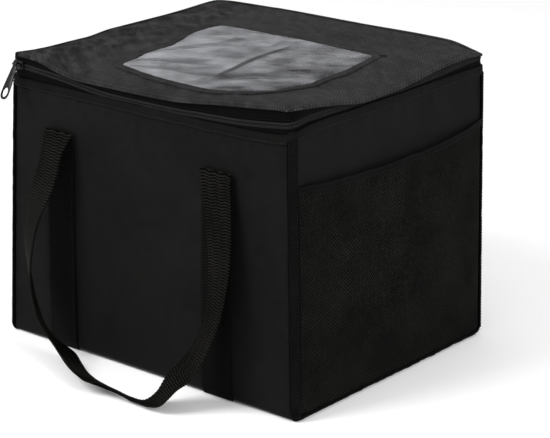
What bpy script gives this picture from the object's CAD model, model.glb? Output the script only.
# Soft insulated food bag: the finish of every piece, round the fixed construction.
import math

import bpy
import bmesh
import numpy as np
from mathutils import Matrix, Vector


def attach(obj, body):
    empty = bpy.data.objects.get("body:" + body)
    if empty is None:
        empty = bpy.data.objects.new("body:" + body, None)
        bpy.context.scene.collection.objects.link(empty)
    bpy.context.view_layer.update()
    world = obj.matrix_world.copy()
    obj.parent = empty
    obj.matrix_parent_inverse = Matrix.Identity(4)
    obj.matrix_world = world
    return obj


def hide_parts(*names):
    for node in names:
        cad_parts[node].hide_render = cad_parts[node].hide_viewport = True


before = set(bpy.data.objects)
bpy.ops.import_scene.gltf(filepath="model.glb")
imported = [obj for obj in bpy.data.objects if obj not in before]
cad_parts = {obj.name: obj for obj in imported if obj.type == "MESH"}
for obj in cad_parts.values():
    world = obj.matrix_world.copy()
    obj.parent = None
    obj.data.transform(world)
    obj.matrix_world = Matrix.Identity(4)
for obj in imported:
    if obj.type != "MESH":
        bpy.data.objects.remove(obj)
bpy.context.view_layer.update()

TAU = 2 * math.pi
A = np.asarray

# ================================================================ small mathematics


class Curve:
    """Smooth monotone curve through (x, y) points."""

    def __init__(self, *pts):
        p = A(sorted(pts), float)
        self.x, self.y = p[:, 0], p[:, 1]
        h = np.diff(self.x)
        d = np.diff(self.y) / h
        m = np.zeros(len(self.x))
        m[0], m[-1] = d[0], d[-1]
        for i in range(1, len(m) - 1):
            if d[i - 1] * d[i] > 0:
                a, b = 2 * h[i] + h[i - 1], h[i] + 2 * h[i - 1]
                m[i] = (a + b) / (a / d[i - 1] + b / d[i])
        self.m = m

    def __call__(self, t):
        t = np.clip(A(t, float), self.x[0], self.x[-1])
        i = np.clip(np.searchsorted(self.x, t) - 1, 0, len(self.x) - 2)
        h = self.x[i + 1] - self.x[i]
        u = (t - self.x[i]) / h
        return ((1 + 2 * u) * (1 - u) ** 2 * self.y[i] + u * (1 - u) ** 2 * h * self.m[i]
                + u * u * (3 - 2 * u) * self.y[i + 1] + u * u * (u - 1) * h * self.m[i + 1])


def hermite(P, s, t):
    """Points P (n, k) at places s, read at places t, with smooth tangents."""
    P, s, t = A(P, float), A(s, float), A(t, float)
    m = np.empty_like(P)
    m[1:-1] = (P[2:] - P[:-2]) / (s[2:] - s[:-2])[:, None]
    m[0] = (P[1] - P[0]) / (s[1] - s[0])
    m[-1] = (P[-1] - P[-2]) / (s[-1] - s[-2])
    i = np.clip(np.searchsorted(s, t) - 1, 0, len(s) - 2)
    h = (s[i + 1] - s[i])[:, None]
    u = ((t - s[i]) / (s[i + 1] - s[i]))[:, None]
    return ((1 + 2 * u) * (1 - u) ** 2 * P[i] + u * (1 - u) ** 2 * h * m[i]
            + u * u * (3 - 2 * u) * P[i + 1] + u * u * (u - 1) * h * m[i + 1])


def _lattice(i, j, k, seed):
    h = (i * 374761393 + j * 668265263 + k * 1103515245 + seed * 2246822519) & 0xFFFFFFFF
    h = ((h ^ (h >> 13)) * 1274126177) & 0xFFFFFFFF
    h = ((h ^ (h >> 16)) * 1597334677) & 0xFFFFFFFF
    return (h & 0xFFFFF) / float(0xFFFFF) * 2 - 1


def noise(x, y, z=0.0, seed=1):
    """Smooth value noise, from -1 to 1, the same on each run."""
    x, y, z = np.broadcast_arrays(A(x, float), A(y, float), A(z, float))
    i, j, k = (np.floor(v).astype(np.int64) for v in (x, y, z))
    u, v, w = (a - b for a, b in ((x, i), (y, j), (z, k)))
    u, v, w = (a * a * a * (a * (a * 6 - 15) + 10) for a in (u, v, w))
    r = 0.0
    for di in (0, 1):
        for dj in (0, 1):
            for dk in (0, 1):
                g = (u if di else 1 - u) * (v if dj else 1 - v) * (w if dk else 1 - w)
                r = r + g * _lattice(i + di, j + dj, k + dk, seed)
    return r


def smooth(a, b, x):
    t = np.clip((A(x, float) - a) / (b - a), 0, 1)
    return t * t * (3 - 2 * t)


def unit(v):
    return v / np.maximum(np.linalg.norm(v, axis=-1, keepdims=True), 1e-12)


# ================================================================ the shape of the bag
HX = lambda z: 190.5 - 8 * A(z, float) / 281
HY = lambda z: 157.5 - 1.5 * A(z, float) / 281

# Heights to which the rim band's lower edge and the meeting line of the zip have settled, along each side.
BAND = [
    Curve((-181, 266), (-163, 265.5), (-57, 265.9), (8, 265.4), (66, 265.7), (120, 266.4), (167, 268.5), (181, 271)),
    Curve((-156, 272), (-130, 276.5), (0, 278), (140, 279.5), (156, 279.5)),
    Curve((-181, 274), (0, 277), (181, 279.5)),
    Curve((-156, 267.5), (0, 270), (156, 274)),
]
ZIPLINE = [
    Curve((-181, 288.3), (-158, 286.8), (-108, 283.2), (-80, 279.9), (-38, 277.0), (27, 277.2), (73, 279.2), (117, 281.2), (181, 288.2)),
    Curve((-156, 288.5), (-130, 291.4), (-50, 291.2), (0, 291.2), (60, 293), (128, 297), (156, 298)),
    Curve((-181, 293), (0, 296), (181, 298)),
    Curve((-156, 288.5), (0, 289.2), (156, 293)),
]


def mix_sides(x, y, curves, ax=183.0, ay=156.0, e=2.0, k=3.0):
    x, y = A(x, float), A(y, float)
    d = [y + ay, ax - x, ay - y, x + ax]
    v = [curves[0](x), curves[1](y), curves[2](x), curves[3](y)]
    w = [1.0 / (np.maximum(q, 0) + e) ** k for q in d]
    return sum(a * b for a, b in zip(w, v)) / sum(w)


def rise(x, y, z):
    hb = mix_sides(x, y, BAND) - 270
    hc = mix_sides(x, y, ZIPLINE) - 288.6
    low = hb * np.clip((z - 120) / 150.0, 0, 1) ** 1.3
    return np.where(z < 281, low, hb + (hc - hb) * np.clip((z - 281) / 7.6, 0, 1.0))


def fall(t):
    return np.clip(1 - np.abs(t) ** 2.6, 0, 1)


def ripple(u, z, seed):
    """How far a soft wall stands in or out of its plane, in mm."""
    r = 0.95 * noise(u / 78.0, z / 95.0, 0.3, seed) + 0.42 * noise(u / 33.0 + z / 90.0, z / 60.0, 1.7, seed + 5)
    r = r + 0.16 * noise(u / 12.0, z / 21.0, 4.1, seed + 9)
    return r


def settle(P, detail=True):
    """Carries a point of the straight bag to where the soft bag has it."""
    P = A(P, float)
    x, y, z = P[..., 0], P[..., 1], P[..., 2]
    zz = np.clip(z / 281, 0, 1)
    X = x * (1 - 0.014 * np.clip(z, 0, 300) / 275)
    X = X * (1 + 2.2 / 190 * np.sin(math.pi * zz) * fall(y / 157))
    Y = y * (1 + 1.7 / 157 * np.sin(math.pi * zz) * fall(x / 190))
    if detail:
        ey = smooth(100, 150, np.abs(y)) * np.clip(1 - (np.abs(x) / 186) ** 8, 0, 1) * smooth(0, 26, z) * (1 - smooth(262, 279, z))
        ex = smooth(135, 180, np.abs(x)) * np.clip(1 - (np.abs(y) / 152) ** 8, 0, 1) * smooth(0, 26, z) * (1 - smooth(262, 279, z))
        Y = Y + np.sign(y) * ey * np.where(y < 0, ripple(x, z, 11), ripple(x, z, 37))
        X = X + np.sign(x) * ex * np.where(x < 0, ripple(y, z, 53), ripple(y, z, 71))
    return np.stack([X, Y, z + rise(x, y, z)], -1)


def ring(x0, x1, y0, y1, radii, nx=150, ny=130, nc=9):
    """Rounded rectangle, from the front left corner round by the front. Returns points, outward normals and length along it."""
    fl, fr, br, bl = radii
    P, N = [], []

    def arc(cx, cy, r, a0):
        a = a0 + np.linspace(0, math.pi / 2, nc + 1)
        n = np.stack([np.cos(a), np.sin(a)], 1)
        P.append(A([cx, cy]) + r * n)
        N.append(n)

    def line(p, q, n, k):
        t = (np.arange(1, k) / k)[:, None]
        P.append(A(p) + (A(q) - A(p)) * t)
        N.append(np.tile(A(n, float), (k - 1, 1)))

    arc(x0 + fl, y0 + fl, fl, math.pi)
    line((x0 + fl, y0), (x1 - fr, y0), (0, -1), nx)
    arc(x1 - fr, y0 + fr, fr, -math.pi / 2)
    line((x1, y0 + fr), (x1, y1 - br), (1, 0), ny)
    arc(x1 - br, y1 - br, br, 0)
    line((x1 - br, y1), (x0 + bl, y1), (0, 1), nx)
    arc(x0 + bl, y1 - bl, bl, math.pi / 2)
    line((x0, y1 - bl), (x0, y0 + fl), (-1, 0), ny)
    P, N = np.concatenate(P), np.concatenate(N)
    s = np.concatenate([[0], np.cumsum(np.linalg.norm(np.diff(P, axis=0), axis=1))])
    return P, N, s


# ================================================================ mesh building
class Build:
    def __init__(self):
        self.V, self.Q, self.T, self.qm, self.tm, self.st = [], [], [], [], [], []
        self.n = 0

    def add(self, V, Q=None, T=None, m=0, st=None, fix=True):
        V = A(V, float).reshape(-1, 3)
        Q = np.zeros((0, 4), int) if Q is None else A(Q, int).reshape(-1, 4)
        T = np.zeros((0, 3), int) if T is None else A(T, int).reshape(-1, 3)
        if fix:
            t = np.concatenate([Q[:, [0, 1, 2]], Q[:, [0, 2, 3]], T])
            a, b, c = V[t[:, 0]], V[t[:, 1]], V[t[:, 2]]
            o = V.mean(0)
            if ((a - o) * np.cross(b - o, c - o)).sum() < 0:
                Q, T = Q[:, ::-1], T[:, ::-1]
        self.V.append(V)
        self.Q.append(Q + self.n)
        self.T.append(T + self.n)
        self.qm.append(np.full(len(Q), m))
        self.tm.append(np.full(len(T), m))
        self.st.append(np.zeros((len(V), 2)) if st is None else A(st, float).reshape(-1, 2))
        self.n += len(V)

    def grid(self, P, cu=False, cv=False, caps=False, m=0, st=None, fix=True):
        """P is (rows, columns, 3). cv joins the last column to the first, cu the last row to the first; caps closes the end rows."""
        R, N = P.shape[:2]
        i = np.arange(R if cu else R - 1)[:, None]
        j = np.arange(N if cv else N - 1)[None, :]
        i2, j2 = (i + 1) % R, (j + 1) % N
        Q = np.stack([i * N + j, i * N + j2, i2 * N + j2, i2 * N + j], -1).reshape(-1, 4)
        V = P.reshape(-1, 3)
        T = None
        S = None if st is None else A(st, float).reshape(-1, 2)
        if caps:
            c0, c1 = P[0].mean(0), P[-1].mean(0)
            k = len(V)
            j = np.arange(N)
            T = np.concatenate([np.stack([(j + 1) % N, j, np.full(N, k)], 1),
                                np.stack([(R - 1) * N + j, (R - 1) * N + (j + 1) % N, np.full(N, k + 1)], 1)])
            V = np.concatenate([V, [c0, c1]])
            if S is not None:
                S = np.concatenate([S, S[:N].mean(0)[None], S[-N:].mean(0)[None]])
        self.add(V, Q, T, m, S, fix)

    def sheet(self, P, t, m=0, st=None, edge=0.5, lift=0.5):
        """A thin closed sheet on the open grid P: thickness t, thinner at its border. lift is the share of t above P."""
        P = A(P, float)
        du, dv = np.gradient(P, axis=0), np.gradient(P, axis=1)
        n = unit(np.cross(dv, du))
        R, N = P.shape[:2]
        f = np.ones((R, N))
        f[0], f[-1], f[:, 0], f[:, -1] = edge, edge, edge, edge
        top = P + n * (t * lift * f)[..., None]
        low = P - n * (t * (1 - lift) * f)[..., None]
        V = np.concatenate([top.reshape(-1, 3), low.reshape(-1, 3)])
        i, j = np.arange(R - 1)[:, None], np.arange(N - 1)[None]
        a = (i * N + j).ravel()
        q = np.stack([a, a + 1, a + N + 1, a + N], 1)
        k = R * N
        Q = [q, q[:, ::-1] + k]
        rim = np.concatenate([np.arange(N), np.arange(1, R) * N + N - 1, (R - 1) * N + np.arange(N - 2, -1, -1), np.arange(R - 2, 0, -1) * N])
        nx = np.roll(rim, -1)
        Q.append(np.stack([nx, rim, rim + k, nx + k], 1))
        S = None if st is None else np.concatenate([A(st, float).reshape(-1, 2)] * 2)
        self.add(V, np.concatenate(Q), None, m, S)
        return n

    def stamp(self, tpl, O, X, Y, Z, m=0):
        """Copies of a template at origins O with axes X, Y, Z, each (k, 3)."""
        V0, Q0, T0 = tpl
        O, X, Y, Z = (A(v, float).reshape(-1, 3) for v in (O, X, Y, Z))
        k = len(O)
        if not k:
            return
        V = (O[:, None] + V0[None, :, :1] * X[:, None] + V0[None, :, 1:2] * Y[:, None] + V0[None, :, 2:3] * Z[:, None])
        off = (np.arange(k) * len(V0))[:, None, None]
        Q = (Q0[None] + off).reshape(-1, 4)
        T = (T0[None] + off).reshape(-1, 3)
        self.add(V.reshape(-1, 3), Q, T, m, fix=False)

    def make(self, name, mats, body, replaces=(), sharp=None):
        V = np.concatenate(self.V) * 0.001
        Q, T = np.concatenate(self.Q), np.concatenate(self.T)
        me = bpy.data.meshes.new(name)
        me.vertices.add(len(V))
        me.vertices.foreach_set("co", V.astype(np.float32).ravel())
        loops = np.concatenate([Q.ravel(), T.ravel()]).astype(np.int32)
        me.loops.add(len(loops))
        me.loops.foreach_set("vertex_index", loops)
        start = np.concatenate([np.arange(len(Q)) * 4, len(Q) * 4 + np.arange(len(T)) * 3]).astype(np.int32)
        me.polygons.add(len(start))
        me.polygons.foreach_set("loop_start", start)
        me.polygons.foreach_set("material_index", np.concatenate(self.qm + self.tm).astype(np.int32))
        me.update(calc_edges=True)
        me.polygons.foreach_set("use_smooth", np.ones(len(start), bool))
        at = me.attributes.new("st", "FLOAT_VECTOR", "POINT")
        S = np.concatenate(self.st)
        at.data.foreach_set("vector", np.concatenate([S, np.zeros((len(S), 1))], 1).astype(np.float32).ravel())
        if sharp:
            me.set_sharp_from_angle(angle=math.radians(sharp))
        for m in mats:
            me.materials.append(m)
        o = bpy.data.objects.new(name, me)
        bpy.context.scene.collection.objects.link(o)
        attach(o, body)
        if replaces:
            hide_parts(*replaces)
        return o


def capsule(length, ry, rz, sides=5, rings=4, bow=0.0):
    """A thread or bead along X, with bow raising its middle along Z."""
    V = [(-length / 2, 0, -bow)]
    for i in range(rings):
        t = (i + 0.5) / rings * 2 - 1
        r = math.sqrt(max(0.0, 1 - abs(t) ** 2.6))
        for j in range(sides):
            a = TAU * (j + 0.5) / sides
            V.append((t * length / 2, ry * r * math.cos(a), rz * r * math.sin(a) + bow * (1 - 2 * t * t)))
    V.append((length / 2, 0, -bow))
    Q = [[1 + i * sides + j, 1 + i * sides + (j + 1) % sides, 1 + (i + 1) * sides + (j + 1) % sides, 1 + (i + 1) * sides + j]
         for i in range(rings - 1) for j in range(sides)]
    e = len(V) - 1
    T = [[0, 1 + (j + 1) % sides, 1 + j] for j in range(sides)] + [[e, e - sides + j, e - sides + (j + 1) % sides] for j in range(sides)]
    V, Q, T = A(V, float), A(Q), A(T)
    t = np.concatenate([Q[:, [0, 1, 2]], Q[:, [0, 2, 3]], T])
    a, b, c = V[t[:, 0]], V[t[:, 1]], V[t[:, 2]]
    if (a * np.cross(b, c)).sum() < 0:
        Q, T = Q[:, ::-1], T[:, ::-1]
    return V, Q, T


STITCH = capsule(2.5, 0.33, 0.30, 5, 4, 0.12)


def along(P, step, start=0.0, closed=False):
    """Evenly spaced places on a polyline (n, 3): points, tangents, and the fractional row index of each."""
    P = A(P, float)
    if closed:
        P = np.concatenate([P, P[:1]])
    s = np.concatenate([[0], np.cumsum(np.linalg.norm(np.diff(P, axis=0), axis=1))])
    k = max(1, int((s[-1] - start) / step))
    t = start + (np.arange(k) + 0.5) * (s[-1] - start) / k
    i = np.clip(np.searchsorted(s, t) - 1, 0, len(s) - 2)
    u = ((t - s[i]) / np.maximum(s[i + 1] - s[i], 1e-9))[:, None]
    return P[i] * (1 - u) + P[i + 1] * u, unit(P[i + 1] - P[i]), i + u[:, 0]


def sew(b, P, N, step=3.4, m=1, closed=False, lift=0.0, tpl=STITCH, skew=0.0):
    """Stitches along the polyline P whose surface normals are N."""
    P, N = A(P, float), A(N, float)
    if closed:
        N = np.concatenate([N, N[:1]])
    O, X, f = along(P, step, closed=closed)
    i = np.clip(f.astype(int), 0, len(N) - 2)
    u = (f - i)[:, None]
    Z = unit(N[i] * (1 - u) + N[i + 1] * u)
    X = unit(X - Z * (X * Z).sum(1, keepdims=True))
    Y = np.cross(Z, X)
    if skew:
        X, Y = unit(X + skew * Y), unit(Y - skew * X)
    b.stamp(tpl, O + Z * lift, X, Y, Z, m)


# ================================================================ materials
class Look:
    def __init__(self, name, color=(0.02, 0.02, 0.02), rough=0.7, metal=0.0, spec=0.2, sheen=0.0, sheen_rough=0.5, sheen_tint=(1, 1, 1),
                 coat=0.0, coat_rough=0.1, alpha=1.0):
        self.m = bpy.data.materials.new(name)
        self.m.use_nodes = True
        self.t = self.m.node_tree
        self.t.nodes.clear()
        out = self.N("ShaderNodeOutputMaterial")
        p = self.p = self.N("ShaderNodeBsdfPrincipled")
        self.t.links.new(p.outputs[0], out.inputs[0])
        p.inputs["Base Color"].default_value = (*color, 1)
        p.inputs["Roughness"].default_value = rough
        p.inputs["Metallic"].default_value = metal
        p.inputs["Specular IOR Level"].default_value = spec
        p.inputs["Sheen Weight"].default_value = sheen
        p.inputs["Sheen Roughness"].default_value = sheen_rough
        p.inputs["Sheen Tint"].default_value = (*sheen_tint, 1)
        p.inputs["Coat Weight"].default_value = coat
        p.inputs["Coat Roughness"].default_value = coat_rough
        p.inputs["Alpha"].default_value = alpha
        self._xyz = self._st = self._obj = None

    def N(self, kind, **kw):
        n = self.t.nodes.new(kind)
        for k, v in kw.items():
            setattr(n, k, v)
        return n

    def put(self, socket, v):
        if isinstance(v, bpy.types.NodeSocket):
            self.t.links.new(v, socket)
        else:
            socket.default_value = v

    def f(self, op, *args, clamp=False):
        n = self.N("ShaderNodeMath", operation=op, use_clamp=clamp)
        for i, a in enumerate(args):
            self.put(n.inputs[i], a)
        return n.outputs[0]

    def obj(self):
        if self._obj is None:
            self._obj = self.N("ShaderNodeTexCoord").outputs["Object"]
        return self._obj

    def xyz(self):
        """Object coordinates in millimetres."""
        if self._xyz is None:
            s = self.N("ShaderNodeSeparateXYZ")
            self.t.links.new(self.obj(), s.inputs[0])
            self._xyz = [self.f("MULTIPLY", s.outputs[i], 1000.0) for i in range(3)]
        return self._xyz

    def along(self):
        """Length along the strip and across it, in millimetres."""
        if self._st is None:
            a = self.N("ShaderNodeAttribute", attribute_name="st")
            s = self.N("ShaderNodeSeparateXYZ")
            self.t.links.new(a.outputs["Vector"], s.inputs[0])
            self._st = [s.outputs[0], s.outputs[1]]
        return self._st

    def wave(self, x, pitch, phase=0.0):
        """A sine of x, from 0 to 1, that repeats each pitch."""
        s = self.f("SINE", self.f("MULTIPLY_ADD", x, TAU / pitch, phase))
        return self.f("MULTIPLY_ADD", s, 0.5, 0.5)

    def grain(self, size, detail=3.0, rough=0.55, seed=0.0, vec=None):
        """Noise from 0 to 1 with features of size millimetres."""
        v = self.N("ShaderNodeMapping", vector_type="POINT")
        self.t.links.new(vec or self.obj(), v.inputs["Vector"])
        v.inputs["Location"].default_value = (seed, seed * 0.7, -seed)
        n = self.N("ShaderNodeTexNoise")
        self.t.links.new(v.outputs[0], n.inputs["Vector"])
        n.inputs["Scale"].default_value = 1000.0 / size
        n.inputs["Detail"].default_value = detail
        n.inputs["Roughness"].default_value = rough
        return n.outputs[0]

    def range(self, v, a, b, c, d):
        n = self.N("ShaderNodeMapRange")
        self.put(n.inputs[0], v)
        for i, q in enumerate((a, b, c, d)):
            n.inputs[i + 1].default_value = q
        return n.outputs[0]

    def mix(self, fac, a, b):
        n = self.N("ShaderNodeMix", data_type="RGBA")
        self.put(n.inputs[0], fac)
        for s, c in ((n.inputs[6], a), (n.inputs[7], b)):
            self.put(s, c if isinstance(c, bpy.types.NodeSocket) else (*c, 1))
        return n.outputs[2]

    def bump(self, height, mm, strength=1.0, normal=None):
        n = self.N("ShaderNodeBump")
        n.inputs["Strength"].default_value = strength
        n.inputs["Distance"].default_value = mm * 0.001
        self.put(n.inputs["Height"], height)
        if normal is not None:
            self.put(n.inputs["Normal"], normal)
        return n.outputs[0]

    def set(self, color=None, rough=None, normal=None, alpha=None):
        if color is not None:
            self.put(self.p.inputs["Base Color"], color)
        if rough is not None:
            self.put(self.p.inputs["Roughness"], rough)
        if normal is not None:
            self.put(self.p.inputs["Normal"], normal)
            if "Coat Normal" in self.p.inputs and self.p.inputs["Coat Weight"].default_value > 0:
                self.put(self.p.inputs["Coat Normal"], normal)
        if alpha is not None:
            self.put(self.p.inputs["Alpha"], alpha)
        return self.m


def grey(v, warm=0.0):
    return (v * (1 + warm), v, v * (1 - warm))


def shell_look():
    """Coated polyester: fine twill, a little worn and dusty."""
    k = Look("shell_twill", rough=0.78, spec=0.055, sheen=0.006, sheen_rough=0.4)
    x, y, z = k.xyz()
    u = k.f("ADD", x, y)
    rib = k.wave(k.f("ADD", u, z), 1.5)
    yarn = k.f("MULTIPLY", k.wave(u, 0.75), k.wave(z, 0.75))
    h = k.f("ADD", k.f("MULTIPLY", rib, 0.65), k.f("MULTIPLY", yarn, 0.6))
    big, mid, fine = k.grain(70, 3), k.grain(9, 3, seed=3.1), k.grain(1.6, 2, seed=7.7)
    tone = k.f("ADD", k.f("MULTIPLY", big, 0.45), k.f("ADD", k.f("MULTIPLY", mid, 0.3), k.f("MULTIPLY", fine, 0.25)))
    tone = k.range(tone, 0.35, 0.65, 0.0, 1.0)
    tone = k.f("ADD", k.f("MULTIPLY", tone, 0.65), k.f("MULTIPLY", h, 0.3), clamp=True)
    col = k.mix(tone, grey(0.0014, 0.03), grey(0.0062, 0.03))
    r = k.range(k.f("ADD", k.f("MULTIPLY", big, 0.5), k.f("MULTIPLY", h, 0.4)), 0.2, 0.9, 0.72, 0.9)
    n = k.bump(h, 0.22, 0.9, k.bump(mid, 0.4, 0.4))
    return k.set(col, r, n)


def lid_look():
    """Dobby cloth of the lid: rows of small raised dots on a plain ground."""
    k = Look("lid_dobby", rough=0.7, spec=0.10, sheen=0.012, sheen_rough=0.35)
    x, y, z = k.xyz()
    row = k.f("POWER", k.wave(y, 5.0), 2.4)
    dot = k.f("MULTIPLY", row, k.f("POWER", k.wave(x, 3.0), 1.4))
    row2 = k.f("POWER", k.wave(y, 5.0, math.pi), 2.4)
    dot2 = k.f("MULTIPLY", row2, k.f("POWER", k.wave(x, 3.0, math.pi), 1.4))
    dots = k.f("ADD", dot, k.f("MULTIPLY", dot2, 0.7))
    yarn = k.f("MULTIPLY", k.wave(x, 0.7), k.wave(k.f("ADD", y, z), 0.7))
    h = k.f("ADD", k.f("MULTIPLY", dots, 0.8), k.f("MULTIPLY", yarn, 0.3))
    big, mid = k.grain(55, 3), k.grain(7, 3, seed=2.3)
    tone = k.range(k.f("ADD", k.f("MULTIPLY", big, 0.6), k.f("MULTIPLY", mid, 0.4)), 0.36, 0.64, 0.0, 1.0)
    # creases: sharp narrow valleys, close together in the strip at the left where the cloth is slack
    warp = k.f("MULTIPLY", k.f("SUBTRACT", big, 0.5), 60.0)
    slant = k.f("ADD", k.f("MULTIPLY_ADD", x, 0.62, k.f("MULTIPLY", y, 0.78)), warp)
    valley = k.f("POWER", k.wave(slant, 21.0), 3.0)
    cross = k.f("POWER", k.wave(k.f("ADD", k.f("MULTIPLY_ADD", x, 0.85, k.f("MULTIPLY", y, -0.5)), warp), 34.0), 3.0)
    loose = k.f("MULTIPLY_ADD", k.range(x, -125, -85, 1.0, 0.0), 0.7, 0.12)
    crease = k.f("MULTIPLY", k.f("MULTIPLY", k.f("MAXIMUM", valley, k.f("MULTIPLY", cross, 0.8)), k.range(mid, 0.38, 0.6, 0.0, 1.0)), loose)
    tone = k.f("ADD", k.f("MULTIPLY", tone, 0.34), k.f("MULTIPLY", dots, 0.95), clamp=True)
    c = k.N("ShaderNodeCombineXYZ")
    k.put(c.inputs[0], k.f("MULTIPLY", k.f("MULTIPLY_ADD", x, 0.62, k.f("MULTIPLY", y, 0.78)), 0.0034))
    k.put(c.inputs[1], k.f("MULTIPLY", k.f("MULTIPLY_ADD", y, 0.62, k.f("MULTIPLY", x, -0.78)), 0.0011))
    patch = k.grain(30, 4, 0.6, seed=7.7, vec=c.outputs[0])
    loose2 = k.f("MULTIPLY_ADD", k.range(x, -135, -70, 1.0, 0.0), 0.65, 0.35)
    shade = k.f("MULTIPLY_ADD", k.f("SUBTRACT", k.range(patch, 0.40, 0.60, 0.12, 1.62), 1.0), loose2, 1.0)
    tone = k.f("MULTIPLY", tone, k.f("SUBTRACT", 1.0, k.f("MULTIPLY", crease, 0.9)), clamp=True)
    tone = k.f("MULTIPLY", tone, shade, clamp=True)
    col = k.mix(tone, (0.0013, 0.0012, 0.0014), (0.033, 0.0317, 0.0341))
    r = k.range(k.f("ADD", k.f("MULTIPLY", mid, 0.5), k.f("MULTIPLY", dots, 0.4)), 0.1, 0.9, 0.8, 0.6)
    n = k.bump(h, 0.5, 0.9, k.bump(k.f("ADD", k.f("SUBTRACT", mid, k.f("MULTIPLY", crease, 0.8)), k.f("MULTIPLY", patch, 2.0)), 0.9, 1.6))
    return k.set(col, r, n)


def tape_look(name, a, b, pitch=1.1, sheen=0.05, along=True, warm=0.02, spec=0.2, depth=0.2, fold=None, seam=None):
    """Ribbed binding tape: ribs across its length, fine yarns along it.
    fold: width of the paler, rubbed lower fold. seam: (middle, half width) of the tape between its two dark sewn grooves."""
    k = Look(name, rough=0.75, spec=spec, sheen=sheen, sheen_rough=0.4)
    s, t = k.along()
    rib = k.f("POWER", k.wave(s, pitch), 0.7)
    yarn = k.wave(t, 0.6)
    h = k.f("ADD", k.f("MULTIPLY", rib, 0.75), k.f("MULTIPLY", yarn, 0.25))
    big, mid = k.grain(30, 3), k.grain(3, 3, seed=4.4)
    tone = k.range(k.f("ADD", k.f("MULTIPLY", big, 0.6), k.f("MULTIPLY", mid, 0.4)), 0.36, 0.64, 0.0, 1.0)
    tone = k.f("ADD", k.f("MULTIPLY", tone, 0.5), k.f("MULTIPLY", h, 0.5), clamp=True)
    if fold:
        rub = k.f("MULTIPLY", k.range(t, 0.2, fold, 1.0, 0.0), k.range(mid, 0.3, 0.6, 0.4, 1.0))
        tone = k.f("ADD", k.f("MULTIPLY", tone, 0.55), k.f("MULTIPLY", rub, 0.75), clamp=True)
    if seam:
        off = k.f("ABSOLUTE", k.f("SUBTRACT", t, seam[0]))
        tone = k.f("MULTIPLY", k.f("MULTIPLY", tone, 1.3), k.range(off, seam[1] * 0.62, seam[1], 1.0, 0.03), clamp=True)
    n = k.bump(h, depth, 0.9, k.bump(mid, 0.25, 0.4))
    r = k.range(h, 0, 1, 0.85, 0.65)
    return k.set(k.mix(tone, grey(a, warm), grey(b, warm)), r, n)


def webbing_look(name, dark, light, spec):
    """Heavy webbing: the ribs are shape, the yarn chevrons and lengthwise lines are relief."""
    k = Look(name, rough=0.7, spec=spec, sheen=0.004, sheen_rough=0.35)
    s, t = k.along()
    lane = k.f("ABSOLUTE", k.f("SUBTRACT", k.f("FRACT", k.f("DIVIDE", t, 4.75)), 0.5))
    chevron = k.wave(k.f("ADD", s, k.f("MULTIPLY", lane, 4.8)), 1.2)
    line = k.f("POWER", k.wave(t, 2.375), 0.6)
    h = k.f("ADD", k.f("MULTIPLY", chevron, 0.55), k.f("MULTIPLY", line, 0.45))
    big, mid = k.grain(40, 3), k.grain(2.2, 3, seed=1.9)
    tone = k.range(k.f("ADD", k.f("MULTIPLY", big, 0.5), k.f("MULTIPLY", mid, 0.5)), 0.36, 0.64, 0.0, 1.0)
    # broad twill: the rib leans one way on one half of the band and the other way on the other half
    lean = k.f("ABSOLUTE", k.f("SUBTRACT", k.f("FRACT", k.f("DIVIDE", t, 12.67)), 0.5))
    ribs = k.f("POWER", k.wave(k.f("ADD", s, k.f("ADD", k.f("MULTIPLY", lean, 2.6), k.f("MULTIPLY", mid, 1.2))), 2.9, math.pi / 2), 1.9)
    tone = k.f("ADD", k.f("MULTIPLY", tone, 0.5), k.f("MULTIPLY", h, 0.3), clamp=True)
    tone = k.f("MULTIPLY", k.f("ADD", tone, 0.15), ribs, clamp=True)
    n = k.bump(h, 0.3, 0.9, k.bump(mid, 0.3, 0.5))
    r = k.range(h, 0, 1, 0.8, 0.62)
    return k.set(k.mix(tone, dark, light), r, n)


def plain_look(name, a, b, size=4.0, rough=(0.5, 0.7), metal=0.0, spec=0.3, bump=0.2, sheen=0.0, coat=0.0, coat_rough=0.15, alpha=1.0, fine=0.8):
    """A surface with cloudy colour and a fine tooth."""
    k = Look(name, rough=rough[0], metal=metal, spec=spec, sheen=sheen, coat=coat, coat_rough=coat_rough, alpha=alpha)
    big, mid = k.grain(size * 8, 4), k.grain(size, 4, seed=5.5)
    tiny = k.grain(fine, 2, seed=9.1)
    tone = k.range(k.f("ADD", k.f("MULTIPLY", big, 0.5), k.f("MULTIPLY", mid, 0.5)), 0.35, 0.65, 0.0, 1.0)
    n = k.bump(k.f("ADD", mid, k.f("MULTIPLY", tiny, 0.5)), bump, 0.5)
    return k.set(k.mix(tone, a, b), k.range(tone, 0, 1, *rough), n)


def foam_look():
    """Closed-cell foam: small cells under a matt skin."""
    k = Look("foam_cells", rough=0.95, spec=0.2)
    v = k.N("ShaderNodeTexVoronoi")
    k.t.links.new(k.obj(), v.inputs["Vector"])
    v.inputs["Scale"].default_value = 1000 / 1.4
    cloud = k.grain(25, 3)
    tone = k.f("MULTIPLY_ADD", cloud, 0.6, k.f("MULTIPLY", v.outputs["Distance"], 0.4), clamp=True)
    return k.set(k.mix(tone, (0.52, 0.52, 0.50), (0.78, 0.78, 0.76)), k.range(cloud, 0, 1, 0.85, 1.0), k.bump(v.outputs["Distance"], 0.35, 0.6))


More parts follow.
